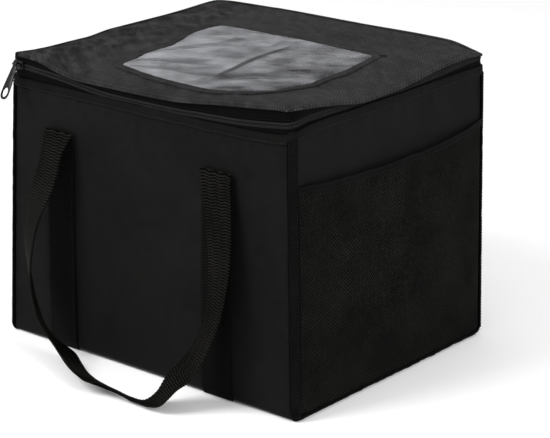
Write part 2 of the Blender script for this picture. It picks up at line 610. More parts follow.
def liner_look():
    """Silver-grey heat-sealed liner: soft sheen, pressed fine grid."""
    k = Look("liner_foil", rough=0.34, metal=0.55, spec=0.5)
    x, y, z = k.xyz()
    u = k.f("ADD", x, y)
    grid = k.f("MAXIMUM", k.f("POWER", k.wave(k.f("ADD", u, z), 2.6), 8.0), k.f("POWER", k.wave(k.f("SUBTRACT", u, z), 2.6), 8.0))
    big, mid = k.grain(45, 4), k.grain(6, 4, seed=3.3)
    tone = k.range(k.f("ADD", k.f("MULTIPLY", big, 0.6), k.f("MULTIPLY", mid, 0.4)), 0.35, 0.65, 0.0, 1.0)
    n = k.bump(grid, 0.12, 0.6, k.bump(mid, 0.9, 0.4))
    return k.set(k.mix(tone, (0.36, 0.37, 0.385), (0.52, 0.53, 0.545)), k.range(tone, 0, 1, 0.42, 0.28), n)


def film_look():
    """Clear soft vinyl, a little milky, with a glossy face."""
    k = Look("window_vinyl", color=(0.16, 0.162, 0.166), rough=0.16, spec=0.5, coat=0.0, alpha=0.45)
    x, y, z = k.xyz()
    cloud, fine, mid = k.grain(38, 4), k.grain(5, 3, seed=6.2), k.grain(13, 4, seed=2.9)
    # rubbed and pressed streaks that run across the sheet
    c = k.N("ShaderNodeCombineXYZ")
    k.put(c.inputs[0], k.f("MULTIPLY", k.f("MULTIPLY_ADD", x, 0.90, k.f("MULTIPLY", y, 0.43)), 0.001))
    k.put(c.inputs[1], k.f("MULTIPLY", k.f("MULTIPLY_ADD", y, 0.90, k.f("MULTIPLY", x, -0.43)), 0.0062))
    streak = k.grain(46, 4, 0.6, seed=1.3, vec=c.outputs[0])
    tone = k.f("ADD", k.f("MULTIPLY", cloud, 0.62), k.f("ADD", k.f("MULTIPLY", streak, 0.3), k.f("MULTIPLY", mid, 0.08)))
    tone = k.range(tone, 0.32, 0.66, 0.0, 1.0)
    # where the sheet was folded for packing: a narrow dull band between two pressed lines
    dy = k.f("SUBTRACT", y, 10.0)
    bend = k.f("MULTIPLY_ADD", k.f("MULTIPLY", dy, dy), 0.00128, 24.0)
    off = k.f("SUBTRACT", x, k.f("ADD", bend, k.f("MULTIPLY", k.f("SUBTRACT", mid, 0.5), 2.0)))
    lines = k.f("MAXIMUM", k.range(k.f("ABSOLUTE", k.f("ADD", off, 2.4)), 0.5, 1.6, 1.0, 0.0), k.range(k.f("ABSOLUTE", k.f("SUBTRACT", off, 2.6)), 0.4, 1.5, 0.8, 0.0))
    dull = k.range(k.f("ABSOLUTE", off), 3.0, 4.6, 0.75, 0.0)
    reach = k.f("MULTIPLY", k.range(y, -104, -84, 0.0, 1.0), k.range(y, 22, 44, 1.0, 0.0))
    mark = k.f("MULTIPLY", k.f("MAXIMUM", lines, dull), reach)
    tone = k.f("MULTIPLY", k.f("ADD", k.f("ADD", tone, k.range(x, 30, 115, 0.05, -0.30)), k.range(x, -78, -30, 0.30, 0.0)), k.f("SUBTRACT", 1.0, mark), clamp=True)
    r = k.f("ADD", k.range(cloud, 0.35, 0.65, 0.11, 0.26), k.f("MULTIPLY", mark, 0.5), clamp=True)
    gloss = k.f("MULTIPLY", k.range(k.f("ADD", k.f("ADD", streak, cloud), k.f("MULTIPLY", mid, 0.1)), 0.80, 1.30, 0.30, 0.54), k.f("SUBTRACT", 1.0, mark))
    k.put(k.p.inputs["Specular IOR Level"], gloss)
    return k.set(k.mix(tone, (0.012, 0.012, 0.014), (0.34, 0.345, 0.364)), r, k.bump(fine, 0.12, 0.3, k.bump(mid, 0.8, 0.35)))


def back_look():
    """Pale sheet behind the window, pressed along the same fold."""
    k = Look("backing_sheet", rough=0.5, spec=0.3)
    x, y, z = k.xyz()
    big, mid, fine = k.grain(60, 4), k.grain(12, 4, seed=5.5), k.grain(4, 3, seed=2.2)
    dy = k.f("SUBTRACT", y, 10.0)
    bend = k.f("MULTIPLY_ADD", k.f("MULTIPLY", dy, dy), 0.00128, 24.0)
    off = k.f("SUBTRACT", x, k.f("ADD", bend, k.f("MULTIPLY", k.f("SUBTRACT", mid, 0.5), 2.0)))
    reach = k.f("MULTIPLY", k.range(y, -104, -84, 0.0, 1.0), k.range(y, 22, 44, 1.0, 0.0))
    mark = k.f("MULTIPLY", k.range(k.f("ABSOLUTE", off), 3.2, 5.4, 1.0, 0.0), reach)
    beside = k.f("MULTIPLY", k.range(k.f("ABSOLUTE", k.f("ADD", off, 8.0)), 1.0, 7.0, 0.35, 0.0), reach)
    tone = k.range(k.f("ADD", k.f("MULTIPLY", big, 0.55), k.f("MULTIPLY", mid, 0.45)), 0.38, 0.62, 0.1, 1.0)
    side = k.range(x, -40, 100, 0.15, -0.25)
    tone = k.f("ADD", k.f("ADD", tone, beside), side, clamp=True)
    tone = k.f("MULTIPLY", tone, k.f("SUBTRACT", 1.0, mark), clamp=True)
    n = k.bump(k.f("ADD", mid, k.f("MULTIPLY", fine, 0.5)), 0.4, 0.5)
    return k.set(k.mix(tone, (0.040, 0.041, 0.046), (0.205, 0.207, 0.220)), k.range(tone, 0, 1, 0.42, 0.6), n)


def metal_look():
    """Zip slider: die-cast, black lacquer rubbed a little at its high spots."""
    k = Look("zip_lacquer", rough=0.34, metal=0.6, spec=0.25, coat=0.15, coat_rough=0.2)
    big, mid = k.grain(6, 4), k.grain(0.9, 3, seed=8.8)
    rub = k.range(k.f("ADD", k.f("MULTIPLY", big, 0.6), k.f("MULTIPLY", mid, 0.4)), 0.52, 0.68, 0.0, 1.0)
    return k.set(k.mix(rub, (0.0010, 0.0010, 0.0011), (0.0065, 0.0065, 0.0070)), k.range(mid, 0, 1, 0.26, 0.45), k.bump(mid, 0.06, 0.4))


M_SHELL = shell_look()
M_LID = lid_look()
M_BIND = tape_look("binding_tape", 0.0006, 0.0034, 1.2, sheen=0.0, spec=0.035, depth=0.26)
M_BAND = tape_look("rim_band_tape", 0.0012, 0.0062, 1.3, warm=0.05, sheen=0.002, spec=0.05, depth=0.26)
M_WEB = webbing_look("webbing_weave", (0.0001, 0.0001, 0.0001), (0.0168, 0.0161, 0.0136), 0.02)
M_SEWN = webbing_look("webbing_weave_sewn", (0.0006, 0.0006, 0.0005), (0.0046, 0.0045, 0.0040), 0.04)
M_RIM = tape_look("rim_band_folded", 0.0008, 0.0072, 1.3, warm=0.05, sheen=0.002, spec=0.05, depth=0.26, fold=2.6)
M_EDGE = tape_look("edge_tape_sewn", 0.0002, 0.0036, 1.2, sheen=0.0, spec=0.03, depth=0.3, seam=(6.28, 3.3))
M_TAPE = tape_look("zip_tape_knit", 0.0003, 0.0016, 1.0, warm=0.0, sheen=0.0, spec=0.03)
M_DARKTHREAD = plain_look("sewing_thread_dark", grey(0.0012), grey(0.0055), 1.2, (0.5, 0.65), spec=0.08, bump=0.05, fine=0.3)
M_THREAD = plain_look("sewing_thread", grey(0.0035), grey(0.012), 1.2, (0.45, 0.6), spec=0.2, bump=0.05, fine=0.3)
M_NET = plain_look("net_nylon", (0.0002, 0.0002, 0.0001), (0.0105, 0.0106, 0.0090), 4.5, (0.45, 0.6), spec=0.11, bump=0.06, fine=0.3)
M_COIL = plain_look("coil_nylon", grey(0.0012), grey(0.0062), 1.5, (0.34, 0.48), spec=0.17, bump=0.04, fine=0.3)
M_FOAM = foam_look()
M_LINER = liner_look()
M_BOARD = plain_look("board_pp", grey(0.018), grey(0.03), 3.0, (0.5, 0.7), bump=0.15)
M_FILM = film_look()
M_BACK = back_look()
M_METAL = metal_look()

# ================================================================ camera and light
YAW, PITCH, ROLL = math.radians(38.66), math.radians(18.17), math.radians(0.79)
back = A([math.sin(YAW) * math.cos(PITCH), -math.cos(YAW) * math.cos(PITCH), math.sin(PITCH)])
right = A([math.cos(YAW), math.sin(YAW), 0.0])
up = np.cross(back, right)
cr, sr = math.cos(ROLL), math.sin(ROLL)
R3 = A([[cr, sr, 0], [-sr, cr, 0], [0, 0, 1]]) @ A([right, up, back])
eye = -R3.T @ A([-29.9, -117.2, -2204.8]) * 0.001
cam_data = bpy.data.cameras.new("camera")
cam_data.sensor_fit = "HORIZONTAL"
cam_data.sensor_width = 36.0
cam_data.lens = 2100.0 / 550 * 36
cam_data.clip_start, cam_data.clip_end = 0.05, 200
cam = bpy.data.objects.new("camera", cam_data)
mw = Matrix.Identity(4)
for c in range(3):
    for r in range(3):
        mw[r][c] = R3[c][r]
    mw[c][3] = eye[c]
cam.matrix_world = mw
bpy.context.scene.collection.objects.link(cam)
bpy.context.scene.camera = cam


def area(name, place, target, size, power, color=(1, 1, 1)):
    d = bpy.data.lights.new(name, "AREA")
    d.shape, d.size, d.energy, d.color = "SQUARE", size, power, color
    o = bpy.data.objects.new(name, d)
    o.location = place
    o.rotation_mode = "QUATERNION"
    o.rotation_quaternion = (Vector(target) - Vector(place)).to_track_quat("-Z", "Y")
    bpy.context.scene.collection.objects.link(o)
    return o


area("key", (-0.95, -1.9, 1.85), (0.0, 0.0, 0.12), 1.3, 66.0)
area("fill", (2.4, -0.35, 1.4), (0.0, 0.0, 0.15), 1.6, 44.0)

world = bpy.data.worlds.new("studio")
bpy.context.scene.world = world
world.use_nodes = True
world.node_tree.nodes["Background"].inputs[0].default_value = (1, 1, 1, 1)
world.node_tree.nodes["Background"].inputs[1].default_value = 0.90

floor_mesh = bpy.data.meshes.new("floor")
floor_mesh.from_pydata([(-30, -30, 0), (30, -30, 0), (30, 30, 0), (-30, 30, 0)], [], [(0, 1, 2, 3)])
floor = bpy.data.objects.new("floor", floor_mesh)
bpy.context.scene.collection.objects.link(floor)
fl = Look("floor_paper", (0.86, 0.86, 0.86), rough=0.6, spec=0.2)
cl = fl.grain(400, 2)
floor_mesh.materials.append(fl.set(fl.mix(cl, (0.895, 0.895, 0.895), (0.91, 0.91, 0.91))))
# a grey flag behind the bag, outside the picture, so that the clear window has something to mirror
flag_mesh = bpy.data.meshes.new("flag")
fx, fy = -2.38, 2.97
flag_mesh.from_pydata([(fx - 1.45, fy - 1.16, 0.55), (fx + 1.45, fy + 1.16, 0.55), (fx + 1.45, fy + 1.16, 1.75), (fx - 1.45, fy - 1.16, 1.75)], [], [(0, 1, 2, 3)])
flag = bpy.data.objects.new("flag", flag_mesh)
bpy.context.scene.collection.objects.link(flag)
fg = Look("flag_cloth", (0.04, 0.04, 0.04), rough=0.9, spec=0.05)
flag_mesh.materials.append(fg.set(fg.mix(fg.grain(60, 2), (0.035, 0.035, 0.035), (0.05, 0.05, 0.05))))
bpy.context.scene.view_settings.view_transform = "Standard"
bpy.context.scene.view_settings.look = "None"

# ================================================================ outer cloth
def bottom_radius(P, N):
    """The bottom edge is soft along the front and back, and tight beside the side panels."""
    f = np.abs(N[:, 1])
    r = 8.0 - 1.5 * smooth(130, 180, np.abs(P[:, 0]))
    return r * f + 4.0 * (1 - f)


def wall_rows(out, zs, radius, top_out=0.0):
    rows = []
    for z in zs:
        P, N, s = ring(-(HX(z) - out), HX(z) - out, -(HY(z) - out), HY(z) - out, [radius] * 4)
        rows.append((P, N, s))
    return rows


def lofted_shell():
    b = Build()
    out, rad = 0.8, 6.0
    rows, S = [], []
    P0, N0, s0 = ring(-(HX(0) - out), HX(0) - out, -(HY(0) - out), HY(0) - out, [rad] * 4)
    rb = bottom_radius(P0, N0)[:, None]
    # underside, from the middle outwards
    for f in (0.03, 0.25, 0.45, 0.62, 0.76, 0.86, 0.93, 0.975):
        q = (P0 - N0 * rb) * f
        sag = 0.55 + 0.35 * noise(q[:, 0] / 60, q[:, 1] / 60, 0.2, 3)
        rows.append(np.column_stack([q, 0.25 + sag * 0.6]))
        S.append(np.column_stack([s0, q[:, 1]]))
    for a in np.linspace(0, math.pi / 2, 8):
        q = P0 - N0 * rb * (1 - math.sin(a))
        rows.append(np.column_stack([q, 0.25 + rb[:, 0] * (1 - math.cos(a))]))
        S.append(np.column_stack([s0, np.full(len(s0), rad * a)]))
    zs = np.concatenate([np.linspace(14.5, 262, 108), np.linspace(264, 280.6, 9)])
    for z in zs:
        P, N, s = ring(-(HX(z) - out), HX(z) - out, -(HY(z) - out), HY(z) - out, [rad] * 4)
        # puckers: the cloth gathers a little beside its seams
        ends = np.minimum(np.abs(np.abs(P[:, 0]) - HX(z)), 60) * (np.abs(N[:, 1]) > 0.5) + np.minimum(np.abs(np.abs(P[:, 1]) - HY(z)), 60) * (np.abs(N[:, 0]) > 0.5)
        k = np.exp(-(np.maximum(ends - 7, 0) / 9.0) ** 1.3)
        pk = 0.42 * k * noise(z / 6.5, np.sign(P[:, 0]) * 3 + np.sign(P[:, 1]) + ends / 30, N[:, 0] * 2, 8)
        k2 = math.exp(-(max(268 - z, 0) / 11.0) ** 1.3)
        pk = pk + 0.5 * k2 * noise(s / 8.5, z / 30, 0.7, 13)
        q = P + N * pk[:, None]
        rows.append(np.column_stack([q, np.full(len(q), z)]))
        S.append(np.column_stack([s, np.full(len(s), z)]))
    for z, d in ((280.9, 0.5), (280.6, 1.1), (270, 1.25), (240, 1.25), (200, 1.25), (160, 1.25), (120, 1.25), (80, 1.25), (40, 1.25), (12, 1.25)):
        P, N, s = ring(-(HX(z) - out - d), HX(z) - out - d, -(HY(z) - out - d), HY(z) - out - d, [rad - 1] * 4)
        if z > 12:
            rows.append(np.column_stack([P, np.full(len(P), z)]))
        else:
            rows.append(np.column_stack([P - N * 2, np.full(len(P), 8.0)]))
        S.append(np.column_stack([s, np.full(len(s), z)]))
    for f in (0.96, 0.7, 0.3, 0.03):
        q = (P0 - N0 * rb) * f * 0.98
        rows.append(np.column_stack([q, np.full(len(q), 1.45)]))
        S.append(np.column_stack([s0, q[:, 1]]))
    R = settle(np.stack(rows))
    b.grid(R, cv=True, caps=True, st=np.stack(S))
    # double row of stitches that holds the base board's pocket, on the underside
    for k in (0.80, 0.815):
        q = (P0 - N0 * rb) * k
        p = np.column_stack([q, np.full(len(q), 0.32)])
        sew(b, p, np.tile([0, 0, -1.0], (len(p), 1)), 4.2, 1, True, lift=-0.05)
    o = b.make("shell_cloth", [M_SHELL, M_THREAD], "bag", ("base_panel", "front_panel", "back_panel", "right_side_panel", "left_side_panel"))
    return o


def edge_binding(side, name, node):
    """Tape folded over the seam of a side panel: down the front edge, round two soft corners, up the back edge."""
    b = Build()
    zt, off, rc = 272.0, 2.7, 7.0
    Y = lambda z: HY(z) - off
    pts = []
    for z in np.linspace(zt, off + 0.3 + rc, 150):
        pts.append((-Y(z), z, -1.0, 0.0))
    z0 = 0.3 + off
    for a in np.linspace(math.pi, 1.5 * math.pi, 16)[1:]:
        pts.append((-Y(z0) + rc + rc * math.cos(a), z0 + rc + rc * math.sin(a), math.cos(a), math.sin(a)))
    for y in np.linspace(-Y(z0) + rc, Y(z0) - rc, 160)[1:-1]:
        pts.append((y, z0, 0.0, -1.0))
    for a in np.linspace(1.5 * math.pi, TAU, 16):
        pts.append((Y(z0) - rc + rc * math.cos(a), z0 + rc + rc * math.sin(a), math.cos(a), math.sin(a)))
    for z in np.linspace(off + 0.3 + rc, zt, 150)[1:]:
        pts.append((Y(z), z, 1.0, 0.0))
    q = A(pts)
    y, z, ny, nz = q.T
    s = np.concatenate([[0], np.cumsum(np.hypot(np.diff(y), np.diff(z)))])
    c = np.column_stack([side * (HX(z) - off), y, z])
    n = np.column_stack([np.zeros(len(y)), ny, nz])
    e = np.tile([side, 0.0, 0.0], (len(y), 1))
    acr, out = (e - n) / math.sqrt(2), (e + n) / math.sqrt(2)
    k = 18
    th = TAU * (np.arange(k) + 0.5) / k
    up_ = np.sin(th) > 0
    aa = 5.2 * np.sign(np.cos(th)) * np.abs(np.cos(th)) ** 0.8
    oo = np.where(up_, 2.6 * np.abs(np.sin(th)) ** 0.75, -1.8 * np.abs(np.sin(th)))
    flat = 0.55 + 0.75 * np.clip(-nz, 0, 1)
    wob = flat * (0.62 * noise(s / 4.6, side * 2.0, 0.5, 17) + 0.4 * noise(s / 19.0, side, 2.5, 19)) - 0.15
    lean = 0.5 * noise(s / 40.0, side, 5.5, 23)
    G = (c[:, None] + acr[:, None] * (aa[None, :, None] * (1 + 0.04 * wob[:, None, None]) + lean[:, None, None] * 0.6)
         + out[:, None] * (oo[None, :, None] + np.where(up_, 1, 0)[None, :, None] * wob[:, None, None] * 0.7))
    # the sewn lines press two grooves into the tape
    G[..., 2] = np.maximum(G[..., 2], 0.12)
    W = settle(G, False)
    W[..., 2] = np.maximum(W[..., 2], 0.12)
    st = np.stack([np.broadcast_to(s[:, None], (len(s), k)), np.broadcast_to(th[None] * 4.0, (len(s), k))], -1)
    b.grid(W, cv=True, caps=True, st=st)
    for a0 in (3.7, -3.7):
        h = 2.6 * (1 - (abs(a0) / 5.2) ** 2.6) ** 0.42
        p = c + acr * a0 + out * (h + 0.05)
        nn = unit(out + acr * (a0 / 4.9) * 0.9)
        keep = (p[:, 2] > 3.0)
        cut = np.flatnonzero(np.diff(keep.astype(int)))
        for seg in np.split(np.arange(len(p)), cut + 1):
            if len(seg) > 3 and keep[seg].all():
                sew(b, settle(p[seg], False), nn[seg], 3.3, 1, lift=0.02)
    return b.make(name, [M_EDGE, M_DARKTHREAD], "bag", (node,))


def rim_band():
    b = Build()
    P, N, s = ring(-183.05, 183.05, -156.3, 156.3, [9] * 4, 200, 170, 10)
    t = A([0.0, 0.15, 0.6, 1.3, 2.0, 2.8, 4.0, 5.2, 6.2, 6.9, 7.4, 8.1, 8.8, 9.2])
    face = 1.25 - 0.5 * np.exp(-((t - 2.8) / 0.7) ** 2) - 0.5 * np.exp(-((t - 7.4) / 0.7) ** 2)
    face[0], face[1], face[-1], face[-2] = 0.3, 0.8, 0.2, 0.9
    rows = []
    for ti, fi in zip(t, face):
        pk = 0.42 * noise(s / 6.0, ti / 7.0, 0.4, 29) + 0.3 * noise(s / 26.0, 1.2, 0.4, 31)
        lift = 0.4 * noise(s / 15.0, 3.2, 0.1, 41)
        rows.append(np.column_stack([P + N * (fi + pk * (0.5 + 0.5 * (0 < ti < 9.2)))[:, None], 270.0 + ti + lift]))
    for ti in (9.2, 6.0, 3.0, 0.0):
        rows.append(np.column_stack([P - N * 0.7, np.full(len(P), 270.0 + ti)]))
    G = settle(np.stack(rows), False)
    st = np.stack([np.column_stack([s, np.full(len(s), q)]) for q in list(t) + [12, 15, 19, 23]])
    b.grid(G, cu=True, cv=True, st=st)
    for ti in (2.8, 7.4):
        p = np.column_stack([P + N * 0.72, np.full(len(P), 270.0 + ti)])
        sew(b, settle(p, False), np.column_stack([N, np.zeros(len(N))]), 3.3, 1, True, lift=0.12)
    return b.make("rim_band", [M_RIM, M_DARKTHREAD], "bag", ("rim_binding",))


# ================================================================ inside
def pad(name, node, x0, x1, y0, y1, z0, z1, flare=None, n=34):
    """A foam pad with soft edges, carried into the settled bag."""
    b = Build()
    lo = ring(x0, x1, y0, y1, [min(2.5, (x1 - x0) / 2.2, (y1 - y0) / 2.2)] * 4, 44, 44, 3)[0]
    c = A([(x0 + x1) / 2, (y0 + y1) / 2])
    rows = []
    for f in (0.2, 0.6, 0.9):
        rows.append(np.column_stack([c + (lo - c) * f, np.full(len(lo), z0)]))
    for a in np.linspace(0, math.pi / 2, 4):
        rows.append(np.column_stack([c + (lo - c) * (1 - 0.02 * (1 - math.sin(a))), np.full(len(lo), z0 + 1.2 * (1 - math.cos(a)))]))
    for z in np.linspace(z0 + 1.2, z1 - 1.2, n)[1:-1]:
        rows.append(np.column_stack([lo, np.full(len(lo), z)]))
    for a in np.linspace(math.pi / 2, 0, 4):
        rows.append(np.column_stack([c + (lo - c) * (1 - 0.02 * (1 - math.sin(a))), np.full(len(lo), z1 - 1.2 * (1 - math.cos(a)))]))
    for f in (0.9, 0.6, 0.2):
        rows.append(np.column_stack([c + (lo - c) * f, np.full(len(lo), z1)]))
    G = np.stack(rows)
    if flare is not None:
        G = flare(G)
    b.grid(settle(G, False), cv=True, caps=True)
    o = b.make(name, [M_FOAM], "bag", (node,))
    return o


def lean_y(side):
    def f(G):
        G = G.copy()
        G[..., 1] -= side * 1.5 * G[..., 2] / 281
        G[..., 0] *= HX(G[..., 2]) / 190.5
        return G
    return f


def lean_x(side):
    def f(G):
        G = G.copy()
        G[..., 0] -= side * 8 * G[..., 2] / 281
        G[..., 1] *= HY(G[..., 2]) / 157.5
        return G
    return f


def liner_tub():
    b = Build()
    rows, S = [], []
    ix, iy, rr = 12.2, 11.5, 5.0

    def rg(z, d):
        return ring(-(HX(z) - ix - d), HX(z) - ix - d, -(HY(z) - iy - d), HY(z) - iy - d, [rr] * 4, 110, 96, 8)

    P0, N0, s0 = rg(13, 0)
    for f in (0.03, 0.2, 0.4, 0.58, 0.72, 0.82, 0.9, 0.95):
        q = P0 * f
        z = 13.6 + 0.5 * noise(q[:, 0] / 34, q[:, 1] / 34, 0.2, 61) + 0.25 * noise(q[:, 0] / 11, q[:, 1] / 11, 0.9, 63)
        rows.append(np.column_stack([q, z]))
        S.append(np.column_stack([s0, q[:, 1]]))
    for a in np.linspace(0, math.pi / 2, 6):
        rows.append(np.column_stack([P0 - N0 * 5 * (1 - math.sin(a)), np.full(len(P0), 13.5 + 5 * (1 - math.cos(a)))]))
        S.append(np.column_stack([s0, 5 * a + 0 * s0]))
    for z in np.linspace(20, 279, 84):
        P, N, s = rg(z, 0)
        k = smooth(14, 60, z) * (1 - smooth(240, 279, z) * 0.5)
        w = (0.9 * (1 + noise(s / 70, z / 60, 0.1, 67)) + 0.55 * np.abs(noise(s / 24 + z / 80, z / 44, 0.5, 69)) ** 0.7 + 0.3 * noise(s / 9, z / 13, 0.4, 71))
        q = P - N * (k * w)[:, None]
        rows.append(np.column_stack([q, np.full(len(q), z)]))
        S.append(np.column_stack([s, z + 0 * s]))
    # rolled outwards over the foam to the rim
    P, N, s = rg(280, 0)
    for a in np.linspace(0, math.pi, 11)[1:]:
        d = 4.6 * (1 - math.cos(a))
        z = 279.5 + 4.0 * math.sin(a) * (1 + 0.10 * noise(s / 12, a, 0.3, 73))
        rows.append(np.column_stack([P + N * d, z]))
        S.append(np.column_stack([s, z]))
    for a in np.linspace(math.pi, 0, 7):
        d = 4.6 - 3.8 * math.cos(a)
        z = 278.9 + 3.3 * math.sin(a)
        rows.append(np.column_stack([P + N * d, z + 0 * s]))
        S.append(np.column_stack([s, z + 0 * s]))
    for z in (260, 200, 140, 80, 30):
        P, N, s = rg(z, -0.85)
        rows.append(np.column_stack([P, np.full(len(P), float(z))]))
        S.append(np.column_stack([s, z + 0 * s]))
    for f in (0.97, 0.6, 0.25, 0.03):
        rows.append(np.column_stack([P0 * f * 0.995, np.full(len(P0), 12.6)]))
        S.append(np.column_stack([s0, P0[:, 1] * f]))
    b.grid(settle(np.stack(rows), False), cv=True, caps=True, st=np.stack(S))
    # welded seams: a flat raised fin down each corner
    for sx in (-1, 1):
        for sy in (-1, 1):
            zz = np.linspace(18, 276, 60)
            c = np.stack([sx * (HX(zz) - ix - 2.2), sy * (HY(zz) - iy - 2.2), zz], 1)
            nrm = A([-sx, -sy, 0]) / math.sqrt(2)
            tan = A([sx, -sy, 0]) / math.sqrt(2)
            w = 2.6 + 0.25 * noise(zz / 9, sx, sy, 75)
            G = np.stack([c + tan * -w[:, None] + nrm * 0.2, c + tan * -w[:, None] * 0.6 + nrm * 1.0, c + nrm * 1.25,
                          c + tan * w[:, None] * 0.6 + nrm * 1.0, c + tan * w[:, None] + nrm * 0.2, c - nrm * 0.5], 1)
            b.grid(settle(G, False), cv=True, caps=True)
    return b.make("liner", [M_LINER], "bag", ("liner_tub",))


def base_board():
    b = Build()
    P, N, s = ring(-183, 183, -155, 155, [6] * 4, 60, 50, 6)
    rows = []
    for f in (0.05, 0.5, 0.9):
        rows.append(np.column_stack([P * f, np.full(len(P), 1.8)]))
    for d, z in ((0.6, 1.8), (0.1, 2.1), (0, 2.9), (0.1, 3.7), (0.6, 4.0)):
        rows.append(np.column_stack([P - N * d, np.full(len(P), z)]))
    for f in (0.9, 0.5, 0.05):
        rows.append(np.column_stack([P * f, np.full(len(P), 4.0)]))
    b.grid(np.stack(rows), cv=True, caps=True)
    return b.make("stiff_board", [M_BOARD], "bag", ("base_board",))


# ================================================================ side pocket
def hem_top(y):
    return 220.4 + 7.4 * np.abs(A(y, float) / 150.0) ** 2.2 + 0.5 * noise(A(y, float) / 17.0, 0.2, 0.2, 81)


def pocket(y, z, out=0.0):
    """A point of the pocket's net, on the straight bag."""
    y, z = A(y, float), A(z, float)
    f = np.sin(np.clip((148.6 - np.abs(y)) / 62.0, 0, 1) * math.pi / 2) ** 0.8
    g = np.clip((z - 6.0) / 26.0, 0, 1) ** 0.6 * (0.78 + 0.22 * z / 215)
    sway = 1.0 * noise(y / 55, z / 70, 0.4, 83) + 0.35 * noise(y / 21, z / 26, 0.7, 85)
    d = 0.9 + (5.4 + sway) * f * g + out
    return settle(np.stack([HX(z) - 0.8 + d, y, z], -1))


def net():
    b = Build()
    cy, rows = 4.2, 57
    cols = int(round(296.0 / cy))
    ys = -148.0 + 296.0 * np.arange(2 * cols + 1) / (2 * cols)
    vs = np.arange(2 * rows + 1) / (2 * rows)

    def at(i, j):
        y = ys[i] + 0.28 * noise(i / 2.3, j / 2.1, 0.1, 87)
        top = hem_top(y) - 4.6
        v = vs[j]
        z = 6.5 + v * (top - 6.5) + 0.22 * noise(i / 2.1, j / 2.7, 0.6, 89)
        return y, z

    I, J = np.meshgrid(np.arange(2 * cols + 1), np.arange(2 * rows + 1), indexing="ij")
    node = (I + J) % 2 == 0
    a = []
    for dj in (1, -1):
        i, j = I[node], J[node]
        ok = (i + 1 <= 2 * cols) & (j + dj >= 0) & (j + dj <= 2 * rows)
        a.append(np.stack([i[ok], j[ok], i[ok] + 1, j[ok] + dj], 1))
    e = np.concatenate(a)
    y0, z0 = at(e[:, 0], e[:, 1])
    y1, z1 = at(e[:, 2], e[:, 3])
    # the pocket's lower corners are round
    inside = lambda y, z: ~((np.abs(y) > 136) & (z < 18) & (np.hypot(np.abs(y) - 136, z - 18) > 12.5))
    keep = inside(y0, z0) & inside(y1, z1)
    y0, z0, y1, z1 = y0[keep], z0[keep], y1[keep], z1[keep]
    over = 0.16 * np.where((e[keep, 3] - e[keep, 1]) > 0, 1, -1)
    p, q = pocket(y0, z0, over), pocket(y1, z1, over)
    d = unit(q - p)
    out = A([1.0, 0, 0])
    w = unit(np.cross(np.broadcast_to(out, d.shape), d))
    o = unit(np.cross(d, w))
    p, q = p - d * 0.35, q + d * 0.35
    rw, ro = 0.52, 0.36
    sec = [(-rw, -0.2), (rw, -0.2), (0.0, ro)]
    V = np.stack([c + w * a_ + o * b_ for c in (p, q) for a_, b_ in sec], 1)
    k = len(p)
    off = (np.arange(k) * 6)[:, None, None]
    Q = (A([[0, 1, 4, 3], [1, 2, 5, 4], [2, 0, 3, 5]])[None] + off).reshape(-1, 4)
    T = (A([[0, 2, 1], [3, 4, 5]])[None] + off).reshape(-1, 3)
    # turn all strands the same way out
    t0 = V[0]
    vol = ((t0[0] - t0.mean(0)) * np.cross(t0[2] - t0.mean(0), t0[1] - t0.mean(0))).sum()
    c0 = t0.mean(0)
    tri = A([[0, 1, 4], [0, 4, 3], [1, 2, 5], [1, 5, 4], [2, 0, 3], [2, 3, 5], [0, 2, 1], [3, 4, 5]])
    vol = sum(((t0[t[0]] - c0) * np.cross(t0[t[1]] - c0, t0[t[2]] - c0)).sum() for t in tri)
    if vol < 0:
        Q, T = Q[:, ::-1], T[:, ::-1]
    b.add(V.reshape(-1, 3), Q, T, 0, fix=False)
    return b.make("pocket_net", [M_NET], "bag", ("mesh_pocket_net",))


def pocket_hem():
    b = Build()
    y = np.linspace(-150.5, 150.5, 190)
    t = A([0.0, 0.5, 1.6, 3.2, 4.9, 6.2, 6.9, 7.2])
    face = A([0.2, 1.0, 1.35, 1.2, 1.3, 1.15, 0.8, 0.2])
    top = hem_top(y)
    f = lambda d, k: pocket(y, top - 7.2 + d, k + 0.25 * noise(y / 6.0, d / 5.0, 0.2, 91))
    rows = [f(d, k) for d, k in zip(t, face)]
    rows += [pocket(y, top - 7.2 + d, -0.5) for d in (7.2, 4.8, 2.4, 0.0)]
    G = np.stack(rows, 1)
    st = np.stack([np.broadcast_to(y[:, None], G.shape[:2]), np.broadcast_to(np.arange(G.shape[1])[None] * 1.2, G.shape[:2])], -1)
    b.grid(G, cv=True, caps=True, st=st)
    n = np.tile([1.0, 0, 0], (len(y), 1))
    sew(b, pocket(y, top - 5.6, 1.45), n, 3.2, 1)
    sew(b, pocket(y, top - 1.5, 1.35), n, 3.2, 1)
    return b.make("pocket_hem", [M_BIND, M_DARKTHREAD], "bag", ("mesh_pocket_hem",))


